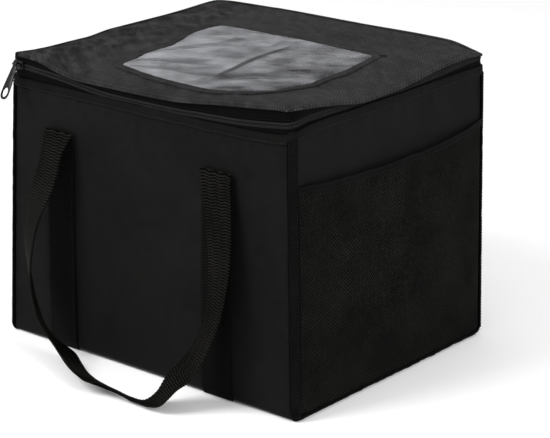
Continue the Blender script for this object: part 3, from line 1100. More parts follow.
# ================================================================ webbing
def ribbon(b, O, I, width_cols=13, thick=1.9, rib=0.17, pitch=3.0, floor_z=None, cup=0.0, m=0, s0=0.0):
    """Ribbed webbing between two edge lines, with rounded selvedges. Returns centre line, its length, normals."""
    v = A([0.0, 0.012, 0.035, 0.08, 0.18, 0.32, 0.5, 0.68, 0.82, 0.92, 0.965, 0.988, 1.0])
    C = (O + I) / 2
    s = np.concatenate([[0], np.cumsum(np.linalg.norm(np.diff(C, axis=0), axis=1))]) + s0
    w = unit(I - O)
    t = unit(np.gradient(C, axis=0))
    n = unit(np.cross(t, w))
    P = O[:, None] + (I - O)[:, None] * v[None, :, None]
    P = P + n[:, None] * (cup * (1 - (2 * v - 1) ** 2))[None, :, None]
    edge = np.sqrt(np.clip(1 - np.abs(2 * v - 1) ** 22, 0, 1))
    lump = 1 + 0.35 * np.exp(-((np.abs(2 * v - 1) - 0.93) / 0.05) ** 2)
    h = thick / 2 * edge * lump
    r = rib * np.cos(TAU * s / pitch)[:, None] * (edge > 0.5)[None]
    r = r + 0.10 * noise(s[:, None] / 9, v[None] * 6, 0.3, 95)
    top = P + n[:, None] * (h[None] + r)[..., None]
    low = P - n[:, None] * (h[None] + r)[..., None]
    G = np.concatenate([top, low[:, ::-1][:, 1:-1]], 1)
    if floor_z is not None:
        G[..., 2] = np.maximum(G[..., 2], floor_z)
    vv = np.concatenate([v, v[::-1][1:-1]]) * 38
    st = np.stack([np.broadcast_to(s[:, None], G.shape[:2]), np.broadcast_to(vv[None], G.shape[:2])], -1)
    b.grid(G, cv=True, caps=True, m=m, st=st)
    return C, s, n, w


def sewn_webbing(name, node, side, xc):
    b = Build()
    z = np.arange(1.6, 226.4, 0.6)
    y = side * (HY(z) + 0.35)
    edges = []
    for dx in (-19.0, 19.0):
        x = xc + dx + 0.35 * noise(z / 60, dx, side, 97)
        if dx * side < 0:
            # the corner beside the fold is turned under
            x = x + side * 12.0 * (1 - np.sqrt(np.clip(1 - np.clip((z - 203) / 25.0, 0, 1) ** 2, 0, 1)))
        q = settle(np.stack([x, y, z], 1))
        q[:, 0], q[:, 2] = x, z
        # the lower end tucks under the base
        tuck = np.clip((12 - z) / 12, 0, 1)
        q[:, 1] -= side * 6.5 * (1 - np.sqrt(np.clip(1 - tuck ** 2, 0, 1)))
        edges.append(q)
    O, I = edges if side < 0 else edges[::-1]
    C, s, n, w = ribbon(b, O, I, thick=1.7, rib=0.22)
    if (n[:, 1].mean() * side) < 0:
        n = -n
    keep = (z > 14) & (z < 219)
    for f in (0.085, 0.915):
        p = (O + (I - O) * f)[keep] + n[keep] * 1.0
        sew(b, p, n[keep], 3.3, 1)
    # reinforcement at the top: two rows across
    def spot(f, zz):
        i = np.clip(np.searchsorted(z, zz), 1, len(z) - 1)
        return O[i] + (I[i] - O[i]) * A(f)[:, None] + n[i] * 1.02, n[i]
    t = np.linspace(0, 1, 12)
    one = np.ones_like(t)
    for f, zz in ((0.13 + 0.74 * t, 218 * one), (0.13 + 0.74 * t, 190 * one)):
        p, nn = spot(f, zz)
        sew(b, p, nn, 3.0, 1, lift=0.05)
    return b.make(name, [M_SEWN, M_DARKTHREAD], "bag", (node,))


STRAP = A([
    [-131.0, -161.5, 228.0, -93.0, -161.5, 228.0], [-131.5, -163.7, 211.7, -94.7, -173.2, 212.4], [-133.3, -169.5, 191.0, -96.7, -179.6, 189.2],
    [-135.9, -174.1, 174.8, -99.9, -185.7, 171.4], [-139.6, -178.2, 153.6, -105.1, -193.9, 150.3],
    [-141.9, -180.0, 135.5, -108.8, -198.4, 133.3], [-143.0, -180.2, 116.6, -111.1, -200.9, 115.9],
    [-140.9, -178.5, 92.3, -112.2, -203.2, 95.1], [-136.6, -177.7, 72.6, -110.8, -204.6, 79.7], [-130.0, -178.9, 52.8, -106.6, -205.9, 65.6],
    [-115.5, -181.5, 30.5, -98.5, -208.9, 50.5], [-97.8, -182.3, 18.9, -88.7, -211.0, 42.0], [-74.6, -180.9, 10.1, -69.5, -214.0, 28.1],
    [-57.0, -188.3, 4.1, -53.2, -220.3, 22.0], [-39.7, -197.7, 2.2, -40.3, -227.6, 21.3], [-20.3, -205.4, 2.1, -29.5, -233.4, 21.4],
    [0.6, -210.9, 2.8, -19.3, -236.2, 19.7], [21.2, -215.4, 3.7, -8.4, -235.6, 15.9], [40.0, -220.7, 2.8, 5.0, -228.8, 14.5],
    [56.3, -223.9, 4.6, 19.2, -222.9, 9.1], [69.9, -225.9, 6.7, 33.8, -217.2, 3.6], [80.3, -225.8, 10.3, 47.1, -211.4, 2.2],
    [87.0, -222.5, 17.3, 56.5, -203.2, 11.4], [92.7, -216.3, 25.9, 62.3, -195.5, 27.2], [101.7, -207.9, 35.1, 70.9, -186.8, 41.6],
    [109.8, -200.7, 52.5, 78.7, -179.0, 55.9], [116.6, -192.4, 74.8, 85.0, -171.6, 75.7], [120.7, -185.4, 98.2, 87.6, -166.7, 96.9],
    [122.2, -180.2, 118.1, 87.8, -164.1, 115.2], [122.0, -174.7, 141.9, 86.5, -162.2, 137.4], [120.2, -170.4, 165.5, 83.8, -161.0, 159.9],
    [117.3, -167.0, 188.5, 80.3, -160.6, 182.9], [114.7, -164.5, 207.0, 77.3, -160.8, 202.8], [112.0, -161.5, 228.0, 74.0, -161.5, 228.0],
])


def handle(name, node, body, side):
    b = Build()
    fold = [(-159.0, 224.6), (-158.9, 227.2), (-159.5, 229.4), (-160.6, 229.9), (-161.35, 229.2)]
    head = [[-131.0, y, z, -93.0, y, z] for y, z in fold]
    tail = [[112.0, y, z, 74.0, y, z] for y, z in fold[::-1]]
    K = np.concatenate([head, STRAP, tail])
    if side > 0:
        K = K * A([1, -1, 1, 1, -1, 1])
    C = (K[:, :3] + K[:, 3:]) / 2
    s = np.concatenate([[0], np.cumsum(np.linalg.norm(np.diff(C, axis=0), axis=1))])
    t = np.arange(0, s[-1], 0.6)
    D = hermite(K, s, t)
    O, I = D[:, :3], D[:, 3:]
    ribbon(b, O, I, thick=1.9, rib=0.26, floor_z=0.25, cup=0.0)
    o = b.make(name, [M_WEB, M_THREAD], body, (node,))
    return o


# ================================================================ zip
def zip_path(x=181.6, y=155.0, r=9.0, back=146.0, step=1.6):
    pts = [(-x, back)]
    pts.append((-x, -y + r))
    P = [A([[-x, v] for v in np.linspace(back, -y + r, 190)])]
    a = np.linspace(math.pi, 1.5 * math.pi, 10)[1:]
    P.append(np.stack([-x + r + r * np.cos(a), -y + r + r * np.sin(a)], 1))
    P.append(A([[v, -y] for v in np.linspace(-x + r, x - r, 230)[1:]]))
    a = np.linspace(1.5 * math.pi, TAU, 10)[1:]
    P.append(np.stack([x - r + r * np.cos(a), -y + r + r * np.sin(a)], 1))
    P.append(A([[x, v] for v in np.linspace(-y + r, back, 190)[1:]]))
    P = np.concatenate(P)
    T = unit(np.gradient(P, axis=0))
    N = np.stack([T[:, 1], -T[:, 0]], 1)
    s = np.concatenate([[0], np.cumsum(np.linalg.norm(np.diff(P, axis=0), axis=1))])
    return P, N, s


def place(P, z=285.0):
    """Plan position at the rim."""
    return settle(np.column_stack([P, np.full(len(P), z)]), False)[:, :2]


def zip_height(P):
    return mix_sides(P[:, 0], P[:, 1], ZIPLINE)


def band_top(P):
    return mix_sides(P[:, 0], P[:, 1], BAND) + 9.2


ZP, ZN, ZS = zip_path()
ZXY = place(ZP)
ZH = zip_height(ZP)
N3 = np.column_stack([ZN, np.zeros(len(ZN))])


def round_back():
    """The zip's line in plan with both back corners added: places, normals, lengths."""
    a = np.linspace(0, math.pi / 2, 9)[1:]
    cap = np.stack([172.6 + 9.0 * np.cos(a), 146.0 + 9.0 * np.sin(a)], 1)
    capn = np.stack([np.cos(a), np.sin(a)], 1)
    ext = np.concatenate([(cap * A([-1, 1]))[::-1], ZP, cap])
    N = np.concatenate([(capn * A([-1, 1]))[::-1], ZN, capn])
    P = place(ext)
    return ext, P, N, np.concatenate([[0], np.cumsum(np.linalg.norm(np.diff(P, axis=0), axis=1))])


def body_tape():
    b = Build()
    ext, P, N, s = round_back()
    lo = band_top(ext) - 4.0
    hi = zip_height(ext) - 0.5
    k = np.linspace(0, 1, 8)
    bow = 0.9 * np.sin(k * math.pi)
    wv = 0.25 * noise(s / 11, 0.3, 0.1, 101)
    fr = 0.5 * np.clip(-N[:, 1], 0, 1)
    face = [np.column_stack([P + N * (bw * 0.4 + 0.35 + (wv + fr) * kk)[:, None], lo + (hi - lo) * kk]) for kk, bw in zip(k, bow)]
    rear = [np.column_stack([P - N * 0.5, lo + (hi - lo) * kk]) for kk in k[::-1]]
    G = np.stack(face + rear, 1)
    st = np.stack([np.broadcast_to(s[:, None], G.shape[:2]), G[..., 2]], -1)
    b.grid(G, cv=True, caps=True, st=st)
    return b.make("tape_body", [M_TAPE], "bag", ("zipper_tape_body",))


TOOTH = capsule(2.5, 0.62, 1.02, 7, 5)


def teeth(name, node, body, up_, phase):
    b = Build()
    H = ZH + (1.0 if up_ else -1.0)
    line = np.column_stack([ZXY, H])
    O, X, f = along(line, 2.2, start=phase)
    i = np.clip(f.astype(int), 0, len(ZN) - 2)
    N = unit(N3[i])
    Z = np.tile([0.0, 0, 1.0], (len(O), 1))
    Zt = unit(Z + 0.12 * X)
    b.stamp(TOOTH, O + N * (0.1 + 0.9 * np.clip(-N[:, 1:2], 0, 1)), Zt, unit(np.cross(N, Zt)), N, 0)
    # cord inside the loops
    k = 6
    th = TAU * np.arange(k) / k
    cord = np.column_stack([ZXY + ZN * (0.9 * np.clip(-ZN[:, 1:2], 0, 1)), H + (0.35 if up_ else -0.35)])
    G = cord[:, None] + N3[:, None] * (0.55 * np.cos(th))[None, :, None] + A([0, 0, 1.0])[None, None] * (0.65 * np.sin(th))[None, :, None]
    b.grid(G, cv=True, caps=True)
    # the sewn edge that holds the coil to its tape
    zz = H + (1.55 if up_ else -1.55)
    sew(b, np.column_stack([ZXY + ZN * (0.75 + 0.5 * np.clip(-ZN[:, 1:2], 0, 1)), zz]), N3, 2.2, 1, lift=-0.05)
    return b.make(name, [M_COIL, M_THREAD], body, (node,))


# ================================================================ lid
LX = lambda x: 3.0 + 0.975 * x
L_OUT = dict(x=186.2, y0=-160.4, y1=156.6)
EDGE = [
    Curve((-181, 299), (-147, 299.2), (-100, 290.4), (-83, 288.9), (1, 289.3), (35, 290.3), (97, 297.2), (150, 303), (168, 305), (181, 304)),
    Curve((-159, 304), (-151, 306), (-102, 301), (-50, 294.3), (-4, 295.2), (33, 299), (85, 304), (135, 306), (155, 303)),
    Curve((-181, 302.5), (-153, 305), (-110, 306), (-56, 307), (23, 307), (103, 308), (136, 308), (158, 306), (181, 302)),
    Curve((-159, 299), (-106, 295.8), (-51, 295.8), (-13, 298.5), (80, 299.5), (144, 302), (155, 302.5)),
]
XR, XL = float(LX(L_OUT["x"])), float(LX(-L_OUT["x"]))


def lid_top(x, y):
    """Height of the lid's cloth, before its small folds."""
    x, y = A(x, float), A(y, float)
    d = [y - L_OUT["y0"], XR - x, L_OUT["y1"] - y, x - XL]
    lam = [60.0, 110.0, 30.0, 50.0]
    v = [EDGE[0](x), EDGE[1](y), EDGE[2](x), EDGE[3](y)]
    w = [(l / (np.maximum(q, 0) + 1.5)) ** 1.5 for l, q in zip(lam, d)]
    crown = 307 + 4 * np.exp(-((x + 95) / 80) ** 2 - ((y - 10) / 130) ** 2)
    tuck = 3.2 * np.exp(-((x - XR) ** 2 + (y - L_OUT["y1"]) ** 2) / (2 * 22.0 ** 2))
    return (sum(a * c for a, c in zip(w, v)) + crown) / (sum(w) + 1) - tuck


WX0, WX1, WY0, WY1 = -78.0, 112.0, -122.0, 56.0

# The opening is cut and pulled a little out of square: places on the straight outline, and where they are.
PULLED = A([
    [-74, -118, -65.5, -115.0], [-78, -90, -67.5, -90.5], [-78, -66, -72.5, -66.0], [-78, -48, -70.0, -48.5], [-78, -5, -79.5, -5.0],
    [-78, 38, -86.5, 38.5], [-77, 55, -82.0, 54.5], [-30, 56, -30.0, 59.5], [24, 56, 24.0, 63.0], [80, 56, 80.0, 60.0], [110, 55, 112.0, 57.0],
    [112, 23, 117.5, 23.0], [112, -20, 119.8, -20.0], [112, -72, 124.5, -72.0], [112, -102, 124.0, -104.0], [108, -118, 117.5, -122.0],
    [80, -122, 80.0, -135.0], [25, -122, 25.0, -130.8], [-20, -122, -20.0, -126.2], [-48, -122, -47.0, -121.2],
])
_r = np.exp(-((PULLED[:, None, :2] - PULLED[None, :, :2]) ** 2).sum(-1) / (2 * 26.0 ** 2))
_w = np.linalg.solve(_r + 0.02 * np.eye(len(PULLED)), PULLED[:, 2:] - PULLED[:, :2])


def pulled(x, y):
    x, y = A(x, float), A(y, float)
    dx, dy = np.zeros(np.broadcast(x, y).shape), np.zeros(np.broadcast(x, y).shape)
    for (cx, cy), (wx, wy) in zip(PULLED[:, :2], _w):
        g = np.exp(-((x - cx) ** 2 + (y - cy) ** 2) / (2 * 26.0 ** 2))
        dx = dx + wx * g
        dy = dy + wy * g
    return x + dx, y + dy


def window_far(x, y):
    """Distance outside the window opening (negative inside)."""
    u, v = x, y
    for _ in range(2):
        a, b = pulled(u, v)
        u, v = u + (x - a), v + (y - b)
    x, y = u, v
    dx = np.maximum(WX0 - x, x - WX1)
    dy = np.maximum(WY0 - y, y - WY1)
    return np.where((dx > 0) & (dy > 0), np.hypot(dx, dy), np.maximum(dx, dy))


def lid_in(x, y):
    return np.minimum(np.minimum(y - L_OUT["y0"], L_OUT["y1"] - y), np.minimum(XR - x, x - XL))


# Folds of the lid cloth: (points, half width, height). Heights fade at both ends.
FOLDS = [
    (((-172, -150), (-150, -128), (-128, -95), (-112, -58)), 7.0, 1.9),
    (((-176, -118), (-150, -100), (-120, -84), (-92, -78)), 6.0, -1.3),
    (((-176, -96), (-148, -72), (-118, -50), (-94, -36)), 8.0, 1.6),
    (((-177, -60), (-146, -42), (-112, -20), (-92, -8)), 6.5, -1.2),
    (((-177, -34), (-150, -8), (-120, 18), (-94, 30)), 8.0, 1.5),
    (((-176, 14), (-148, 34), (-118, 48), (-90, 62)), 7.0, -1.0),
    (((-174, 50), (-140, 70), (-104, 84), (-70, 96)), 9.0, 1.3),
    (((-158, -152), (-120, -148), (-84, -142), (-50, -138)), 5.5, 0.9),
    (((-110, -154), (-92, -140), (-80, -126)), 5.0, -0.9),
    (((-70, 104), (-20, 112), (40, 108), (96, 112)), 10.0, 0.8),
    (((118, 60), (136, 84), (152, 118), (164, 140)), 8.0, 0.8),
    (((120, -10), (138, -2), (156, 10), (172, 16)), 8.0, -0.7),
    (((118, -60), (138, -70), (158, -74), (174, -78)), 7.0, 0.7),
    (((60, -128), (90, -140), (120, -146), (150, -148)), 6.0, 0.6),
    (((-30, -128), (0, -140), (30, -150)), 6.0, -0.6),
]
CREASES = [
    (((33.8, -99.9), (29.0, -67.4), (21.7, -25.0), (20.7, 7.7), (22.4, 37.8)), 5.5, -0.5),
    (((41.0, -104), (36.5, -68), (30.0, -26.0), (29.0, 6.0), (31.0, 34.0)), 6.0, 0.35),
    (((-78, -118), (-52, -98), (-24, -84), (2, -76)), 6.0, 1.0),
    (((-76, -100), (-52, -76), (-28, -56), (-6, -46)), 7.0, -1.0),
    (((-78, -84), (-56, -54), (-38, -26), (-26, 4)), 8.0, 1.1),
    (((-76, -52), (-58, -22), (-46, 8), (-40, 34)), 8.0, -0.9),
    (((-50, -120), (-26, -112), (2, -108), (28, -110)), 6.0, 0.8),
    (((50, -118), (64, -96), (84, -70), (106, -48)), 9.0, 0.9),
    (((56, -60), (72, -34), (92, -12), (110, 4)), 10.0, -0.8),
    (((-6, 16), (4, 30), (-2, 46)), 4.0, -0.8),
    (((-8, 28), (-1, 34)), 2.0, 1.0),
]


def folds(x, y, table, ends=14.0):
    x, y = A(x, float), A(y, float)
    h = np.zeros(np.broadcast(x, y).shape)
    for pts, w, height in table:
        q = A(pts, float)
        s = np.concatenate([[0], np.cumsum(np.linalg.norm(np.diff(q, axis=0), axis=1))])
        c = hermite(q, s, np.linspace(0, s[-1], 28)) if len(q) > 2 else q[0] + (q[-1] - q[0]) * np.linspace(0, 1, 28)[:, None]
        best = np.full(h.shape, 1e9)
        place_ = np.zeros(h.shape)
        for i in range(len(c) - 1):
            a, b = c[i], c[i + 1]
            ab = b - a
            t = np.clip(((x - a[0]) * ab[0] + (y - a[1]) * ab[1]) / (ab @ ab), 0, 1)
            d = np.hypot(x - a[0] - t * ab[0], y - a[1] - t * ab[1])
            near = d < best
            best = np.where(near, d, best)
            place_ = np.where(near, (i + t) / (len(c) - 1), place_)
        fade = np.sin(np.clip(place_, 0, 1) * math.pi) ** 0.6
        h += height * fade * np.exp(-(best / w) ** 2)
    return h


def lid_cloth_z(x, y):
    far = window_far(x, y)
    fade = smooth(0, 12, far) * smooth(0, 14, lid_in(x, y))
    left = smooth(-60, -120, x)
    n = (0.7 + 1.1 * left) * noise(x / 27.0, y / 33.0, 0.1, 111) + (0.4 + 0.6 * left) * noise(x / 12.0 + y / 40, y / 15.0, 0.7, 113)
    h = (1.3 + 0.5 * left) * folds(x, y, FOLDS) + n
    # the foam under it holds the valleys up
    h = np.where(h < -0.5, -0.5 + 0.25 * (h + 0.5), h)
    return lid_top(x, y) + fade * h


def film_z(x, y):
    far = -window_far(x, y)
    fade = smooth(-2, 16, far)
    n = 0.8 * noise(x / 44.0, y / 36.0, 0.3, 121) + 0.3 * noise(x / 15.0, y / 19.0, 0.8, 123)
    return lid_top(x, y) + fade * (1.25 * folds(x, y, CREASES) + n) - 0.6 * smooth(0, 30, far)


def lid_ring(inset=0.0, nx=170, ny=150, nc=10):
    P, N, s = ring(-L_OUT["x"], L_OUT["x"], L_OUT["y0"], L_OUT["y1"], [6, 20, 13, 13], nx, ny, nc)
    Q = P - N * A(inset)
    Q = np.column_stack([LX(Q[:, 0]), Q[:, 1]])
    g = np.exp(-((Q[:, 0] - XL) ** 2 + (Q[:, 1] - L_OUT["y0"]) ** 2) / (2 * 24.0 ** 2))
    back = np.exp(-((Q[:, 0] - XR) ** 2 + (Q[:, 1] - L_OUT["y1"]) ** 2) / (2 * 20.0 ** 2))
    return Q + g[:, None] * A([4.6, 4.0]) + back[:, None] * A([-2.5, -1.5]), N, s


ROLL_D, ROLL_Z = 3.6, 2.2


def roll(phi, extra=0.0):
    """Inset and drop of the lid's edge at angle phi: 0 on top, 90 at the outermost line, past it underneath."""
    c, s_ = math.cos(phi), math.sin(phi)
    if phi <= math.pi / 2:
        return (ROLL_D) * (1 - s_) - extra * s_, ROLL_Z * (1 - c) - extra * c
    return (2.2) * (1 - s_) - extra * s_, ROLL_Z - 0.6 * c - extra * c


def lid_panel():
    b = Build()
    W, WN, ws = ring(WX0, WX1, WY0, WY1, [14, 14, 5, 5], 170, 150, 10)
    W = np.column_stack(pulled(W[:, 0], W[:, 1]))
    Lr, LN, ls = lid_ring(ROLL_D)
    rows, S = [], []
    ts = np.linspace(0, 1, 34)
    for t in ts:
        q = W * (1 - t) + Lr * t
        rows.append(np.column_stack([q, lid_cloth_z(q[:, 0], q[:, 1])]))
        S.append(q)
    for phi in np.radians([14, 28, 42, 56, 70, 82, 90, 104, 120, 140, 160]):
        d, dz = roll(phi)
        q, _, _ = lid_ring(d)
        e = lid_top(q[:, 0], q[:, 1])
        wob = 0.35 * noise(ls / 14, phi, 0.2, 131) * math.sin(phi)
        q = q + LN * wob[:, None]
        rows.append(np.column_stack([q, e - dz]))
        S.append(q)
    # underside of the cloth
    for phi in np.radians([160, 130, 105, 90, 60, 25]):
        d, dz = roll(phi, -1.0)
        q, _, _ = lid_ring(d + 0.1)
        e = lid_top(q[:, 0], q[:, 1])
        rows.append(np.column_stack([q, e - dz - (0.0 if phi > 1.6 else 0.0)]))
        S.append(q)
    for t in (1.0, 0.8, 0.6, 0.4, 0.2, 0.0):
        q = W * (1 - t) + Lr * t
        rows.append(np.column_stack([q, lid_cloth_z(q[:, 0], q[:, 1]) - 1.0 - 0.3 * (t < 1)]))
        S.append(q)
    b.grid(np.stack(rows), cu=True, cv=True, st=np.stack(S))
    o = b.make("lid_cloth", [M_LID, M_THREAD], "lid", ("lid_top_panel",))
    return o


def lid_binding():
    """The hemmed border of the lid: cloth folded back on itself over the edge, with a row of stitches."""
    b = Build()
    rows, S = [], []
    P, N, s = lid_ring(0)
    front = np.clip(-N[:, 1], 0, 1)
    for inset, k in ((ROLL_D + 3.2, 0.15), (ROLL_D + 2.9, 0.85), (ROLL_D + 1.2, 1.0)):
        q, _, _ = lid_ring(inset)
        rows.append(np.column_stack([q, lid_cloth_z(q[:, 0], q[:, 1]) + k]))
    for phi in np.radians([4, 22, 40, 56, 70, 82, 92, 106, 124, 146]):
        d, dz = roll(phi, 0.8)
        q, _, _ = lid_ring(d)
        wob = 0.35 * noise(s / 14, phi, 0.2, 131) * math.sin(phi)
        q = q + N * wob[:, None]
        e = lid_top(*lid_ring(roll(phi)[0])[0].T)
        rows.append(np.column_stack([q, e - dz]))
    for phi in np.radians([146, 110, 80, 45, 15]):
        d, dz = roll(phi, 0.1)
        q, _, _ = lid_ring(d)
        e = lid_top(*lid_ring(roll(phi)[0])[0].T)
        rows.append(np.column_stack([q, e - dz]))
    q, _, _ = lid_ring(ROLL_D + 3.0)
    rows.append(np.column_stack([q, lid_cloth_z(q[:, 0], q[:, 1]) - 0.1]))
    G = np.stack(rows)
    st = np.stack([np.column_stack([s, np.full(len(s), i * 1.5)]) for i in range(len(rows))])
    b.grid(G, cu=True, cv=True, st=st)
    q, _, _ = lid_ring(ROLL_D + 1.7)
    p = np.column_stack([q, lid_cloth_z(q[:, 0], q[:, 1]) + 1.08])
    sew(b, p, np.tile([0, 0, 1.0], (len(p), 1)), 3.3, 1, True)
    q, _, _ = lid_ring(2.2)
    return b.make("lid_edge_hem", [M_LID, M_THREAD], "lid", ("lid_edge_binding",))


def round_grid(grow, radii, nx, ny):
    """A grid over the window opening and a border of width grow, with rounded corners. radii: front left, front right, back right, back left."""
    x, y = np.meshgrid(np.linspace(WX0 - grow, WX1 + grow, nx), np.linspace(WY0 - grow, WY1 + grow, ny), indexing="ij")
    for (sx, sy), r in zip(((-1, -1), (1, -1), (1, 1), (-1, 1)), radii):
        cx = (WX0 - grow + r) if sx < 0 else (WX1 + grow - r)
        cy = (WY0 - grow + r) if sy < 0 else (WY1 + grow - r)
        a, b = (x - cx) * sx, (y - cy) * sy
        at = (a > 0) & (b > 0)
        k = np.where(at, np.maximum(a, b) / np.maximum(np.hypot(a, b), 1e-9), 1.0)
        x = np.where(at, cx + sx * a * k, x)
        y = np.where(at, cy + sy * b * k, y)
    return pulled(x, y)


def window_parts():
    # film
    b = Build()
    x, y = round_grid(6.0, (18, 18, 10, 10), 170, 160)
    P = np.stack([x, y, film_z(x, y) + 0.45], -1)
    b.sheet(P, 0.35, st=np.stack([x, y], -1))
    o = b.make("window_film", [M_FILM], "lid", ("lid_window_film",))
    # pale sheet under it
    b = Build()
    x, y = round_grid(7.5, (20, 20, 12, 12), 90, 86)
    z = lid_top(x, y) * 0.25 + film_z(x, y) * 0.75 - 2.1
    b.sheet(np.stack([x, y, z], -1), 0.5, st=np.stack([x, y], -1))
    o = b.make("window_sheet", [M_BACK], "lid", ("lid_window_backing",))
    # binding over the film's edge
    b = Build()
    W, N, s = ring(WX0, WX1, WY0, WY1, [12, 12, 5, 5], 190, 170, 9)
    # the inner edge is turned under by hand and runs unevenly, most at the left
    rag = (0.35 + 0.9 * np.clip(-N[:, 0], 0, 1)) * (0.8 * noise(s / 13.0, 0.4, 0.2, 145) + 0.6 * noise(s / 4.6, 1.4, 0.2, 147))
    k = A([-0.6, -0.5, 0.3, 1.5, 3.0, 4.8, 6.4, 7.4, 8.2, 8.4])

    def ring_at(kk):
        q = W + N * (kk + rag * np.clip(1 - kk / 2.2, 0, 1))[:, None]
        return np.column_stack(pulled(q[:, 0], q[:, 1]))

    face = A([0.35, 1.0, 1.45, 1.55, 1.45, 1.5, 1.45, 1.5, 1.1, 0.2])
    rows, S = [], []
    for kk, ff in zip(k, face):
        q = ring_at(kk)
        z = np.maximum(lid_cloth_z(q[:, 0], q[:, 1]), lid_top(q[:, 0], q[:, 1]) - 0.2)
        rows.append(np.column_stack([q, z + ff + 0.14 * noise(s / 6.5, kk / 5, 0.2, 141)]))
        S.append(np.column_stack([s, np.full(len(s), kk)]))
    for kk, ff in ((8.3, 0.0), (5.0, 0.05), (0.5, 0.62), (-0.6, 0.62)):
        q = ring_at(kk)
        z = lid_top(q[:, 0], q[:, 1]) if kk < 1 else lid_cloth_z(q[:, 0], q[:, 1])
        rows.append(np.column_stack([q, z + ff]))
        S.append(np.column_stack([s, np.full(len(s), kk)]))
    b.grid(np.stack(rows), cu=True, cv=True, st=np.stack(S))
    up_ = np.tile([0, 0, 1.0], (len(W), 1))
    for kk in (1.9, 7.0):
        q = ring_at(kk)
        sew(b, np.column_stack([q, np.maximum(lid_cloth_z(q[:, 0], q[:, 1]), lid_top(q[:, 0], q[:, 1]) - 0.2) + 1.55]), up_, 3.2, 1, True)
    # bar tack where the flap at the back of the window begins
    c = A([WX1 + 9.0, WY1 + 7.0])
    for i in range(9):
        q = c + A([-2.8 + i * 0.7, 0])
        z = float(lid_cloth_z(q[0], q[1])) + 1.3
        b.stamp(capsule(6.0, 0.4, 0.4, 5, 4, 0.15), [[q[0], q[1], z]], [[0, 1.0, 0]], [[-1.0, 0, 0]], [[0, 0, 1.0]], 1)
    return b.make("window_border", [M_LID, M_THREAD], "lid", ("lid_window_binding",))


def under_lid(x, y):
    """Lowest height the lid's padding may reach: just clear of the rim it lies on."""
    q = np.stack([np.clip(x, -182, 182), np.clip(y, -156, 156), np.full(np.shape(x), 286.0)], -1)
    rim = 286.0 + rise(q[..., 0], q[..., 1], q[..., 2])
    return rim + 1.0


def lid_inside():
    b = Build()
    P, N, s = ring(-180.0, 180.0, -153.4, 151.2, [10, 12, 6, 6], 90, 80, 6)
    P = np.column_stack([LX(P[:, 0]), P[:, 1]])
    c = A([3.0, 0.0])
    rows = []

    def top(q, d):
        return lid_top(q[:, 0], q[:, 1]) - d

    def low(q, d):
        t = lid_top(q[:, 0], q[:, 1])
        return np.minimum(t - 4.5, np.maximum(t - 10.8, under_lid(q[:, 0], q[:, 1]) + 1.1)) - d

    fs = (0.04, 0.2, 0.36, 0.52, 0.66, 0.78, 0.87, 0.93, 0.97)
    for f in fs:
        q = c + (P - c) * f
        rows.append(np.column_stack([q, top(q, 3.6)]))
    for f, k in ((0.99, 0.1), (1.0, 0.35), (1.0, 0.65), (0.99, 0.9)):
        q = c + (P - c) * f
        a, z = top(q, 3.8), low(q, 0)
        rows.append(np.column_stack([q, a * (1 - k) + z * k]))
    for f in fs[::-1]:
        q = c + (P - c) * f
        rows.append(np.column_stack([q, low(q, 0)]))
    b.grid(np.stack(rows), cv=True, caps=True)
    o = b.make("lid_pad", [M_FOAM], "lid", ("lid_foam",))

    b = Build()
    P, N, s = ring(-179.0, 179.0, -152.2, 150.5, [9, 11, 6, 6], 110, 96, 7)
    P = np.column_stack([LX(P[:, 0]), P[:, 1]])
    rows, S = [], []
    gs = np.concatenate([np.linspace(0.03, 0.9, 26), [0.94, 0.965, 0.985, 0.996, 1.0]])
    for f in gs:
        q = c + (P - c) * f
        w = smooth(1.0, 0.9, f) * (0.5 * noise(q[:, 0] / 40, q[:, 1] / 40, 0.1, 151) + 0.3 * np.abs(noise(q[:, 0] / 17, q[:, 1] / 17, 0.4, 153)))
        z = low(q, 1.25) - w * 0.8 + 1.0 * smooth(0.97, 1.0, f)
        rows.append(np.column_stack([q, z]))
        S.append(q)
    for f in (1.0, 0.98, 0.9, 0.6, 0.3, 0.03):
        q = c + (P - c) * f
        z = low(q, 0.3) + 0.2 * smooth(0.97, 1.0, f)
        rows.append(np.column_stack([q, z]))
        S.append(q)
    b.grid(np.stack(rows), cv=True, caps=True, st=np.stack(S))
    # sewn border of the liner, seen when the lid is open
    q = c + (P - c) * 0.972
    p = np.column_stack([q, low(q, 1.35)])
    sew(b, p, np.tile([0, 0, -1.0], (len(p), 1)), 3.4, 1, True)
    o = b.make("lid_lining", [M_LINER, M_THREAD], "lid", ("lid_liner",))


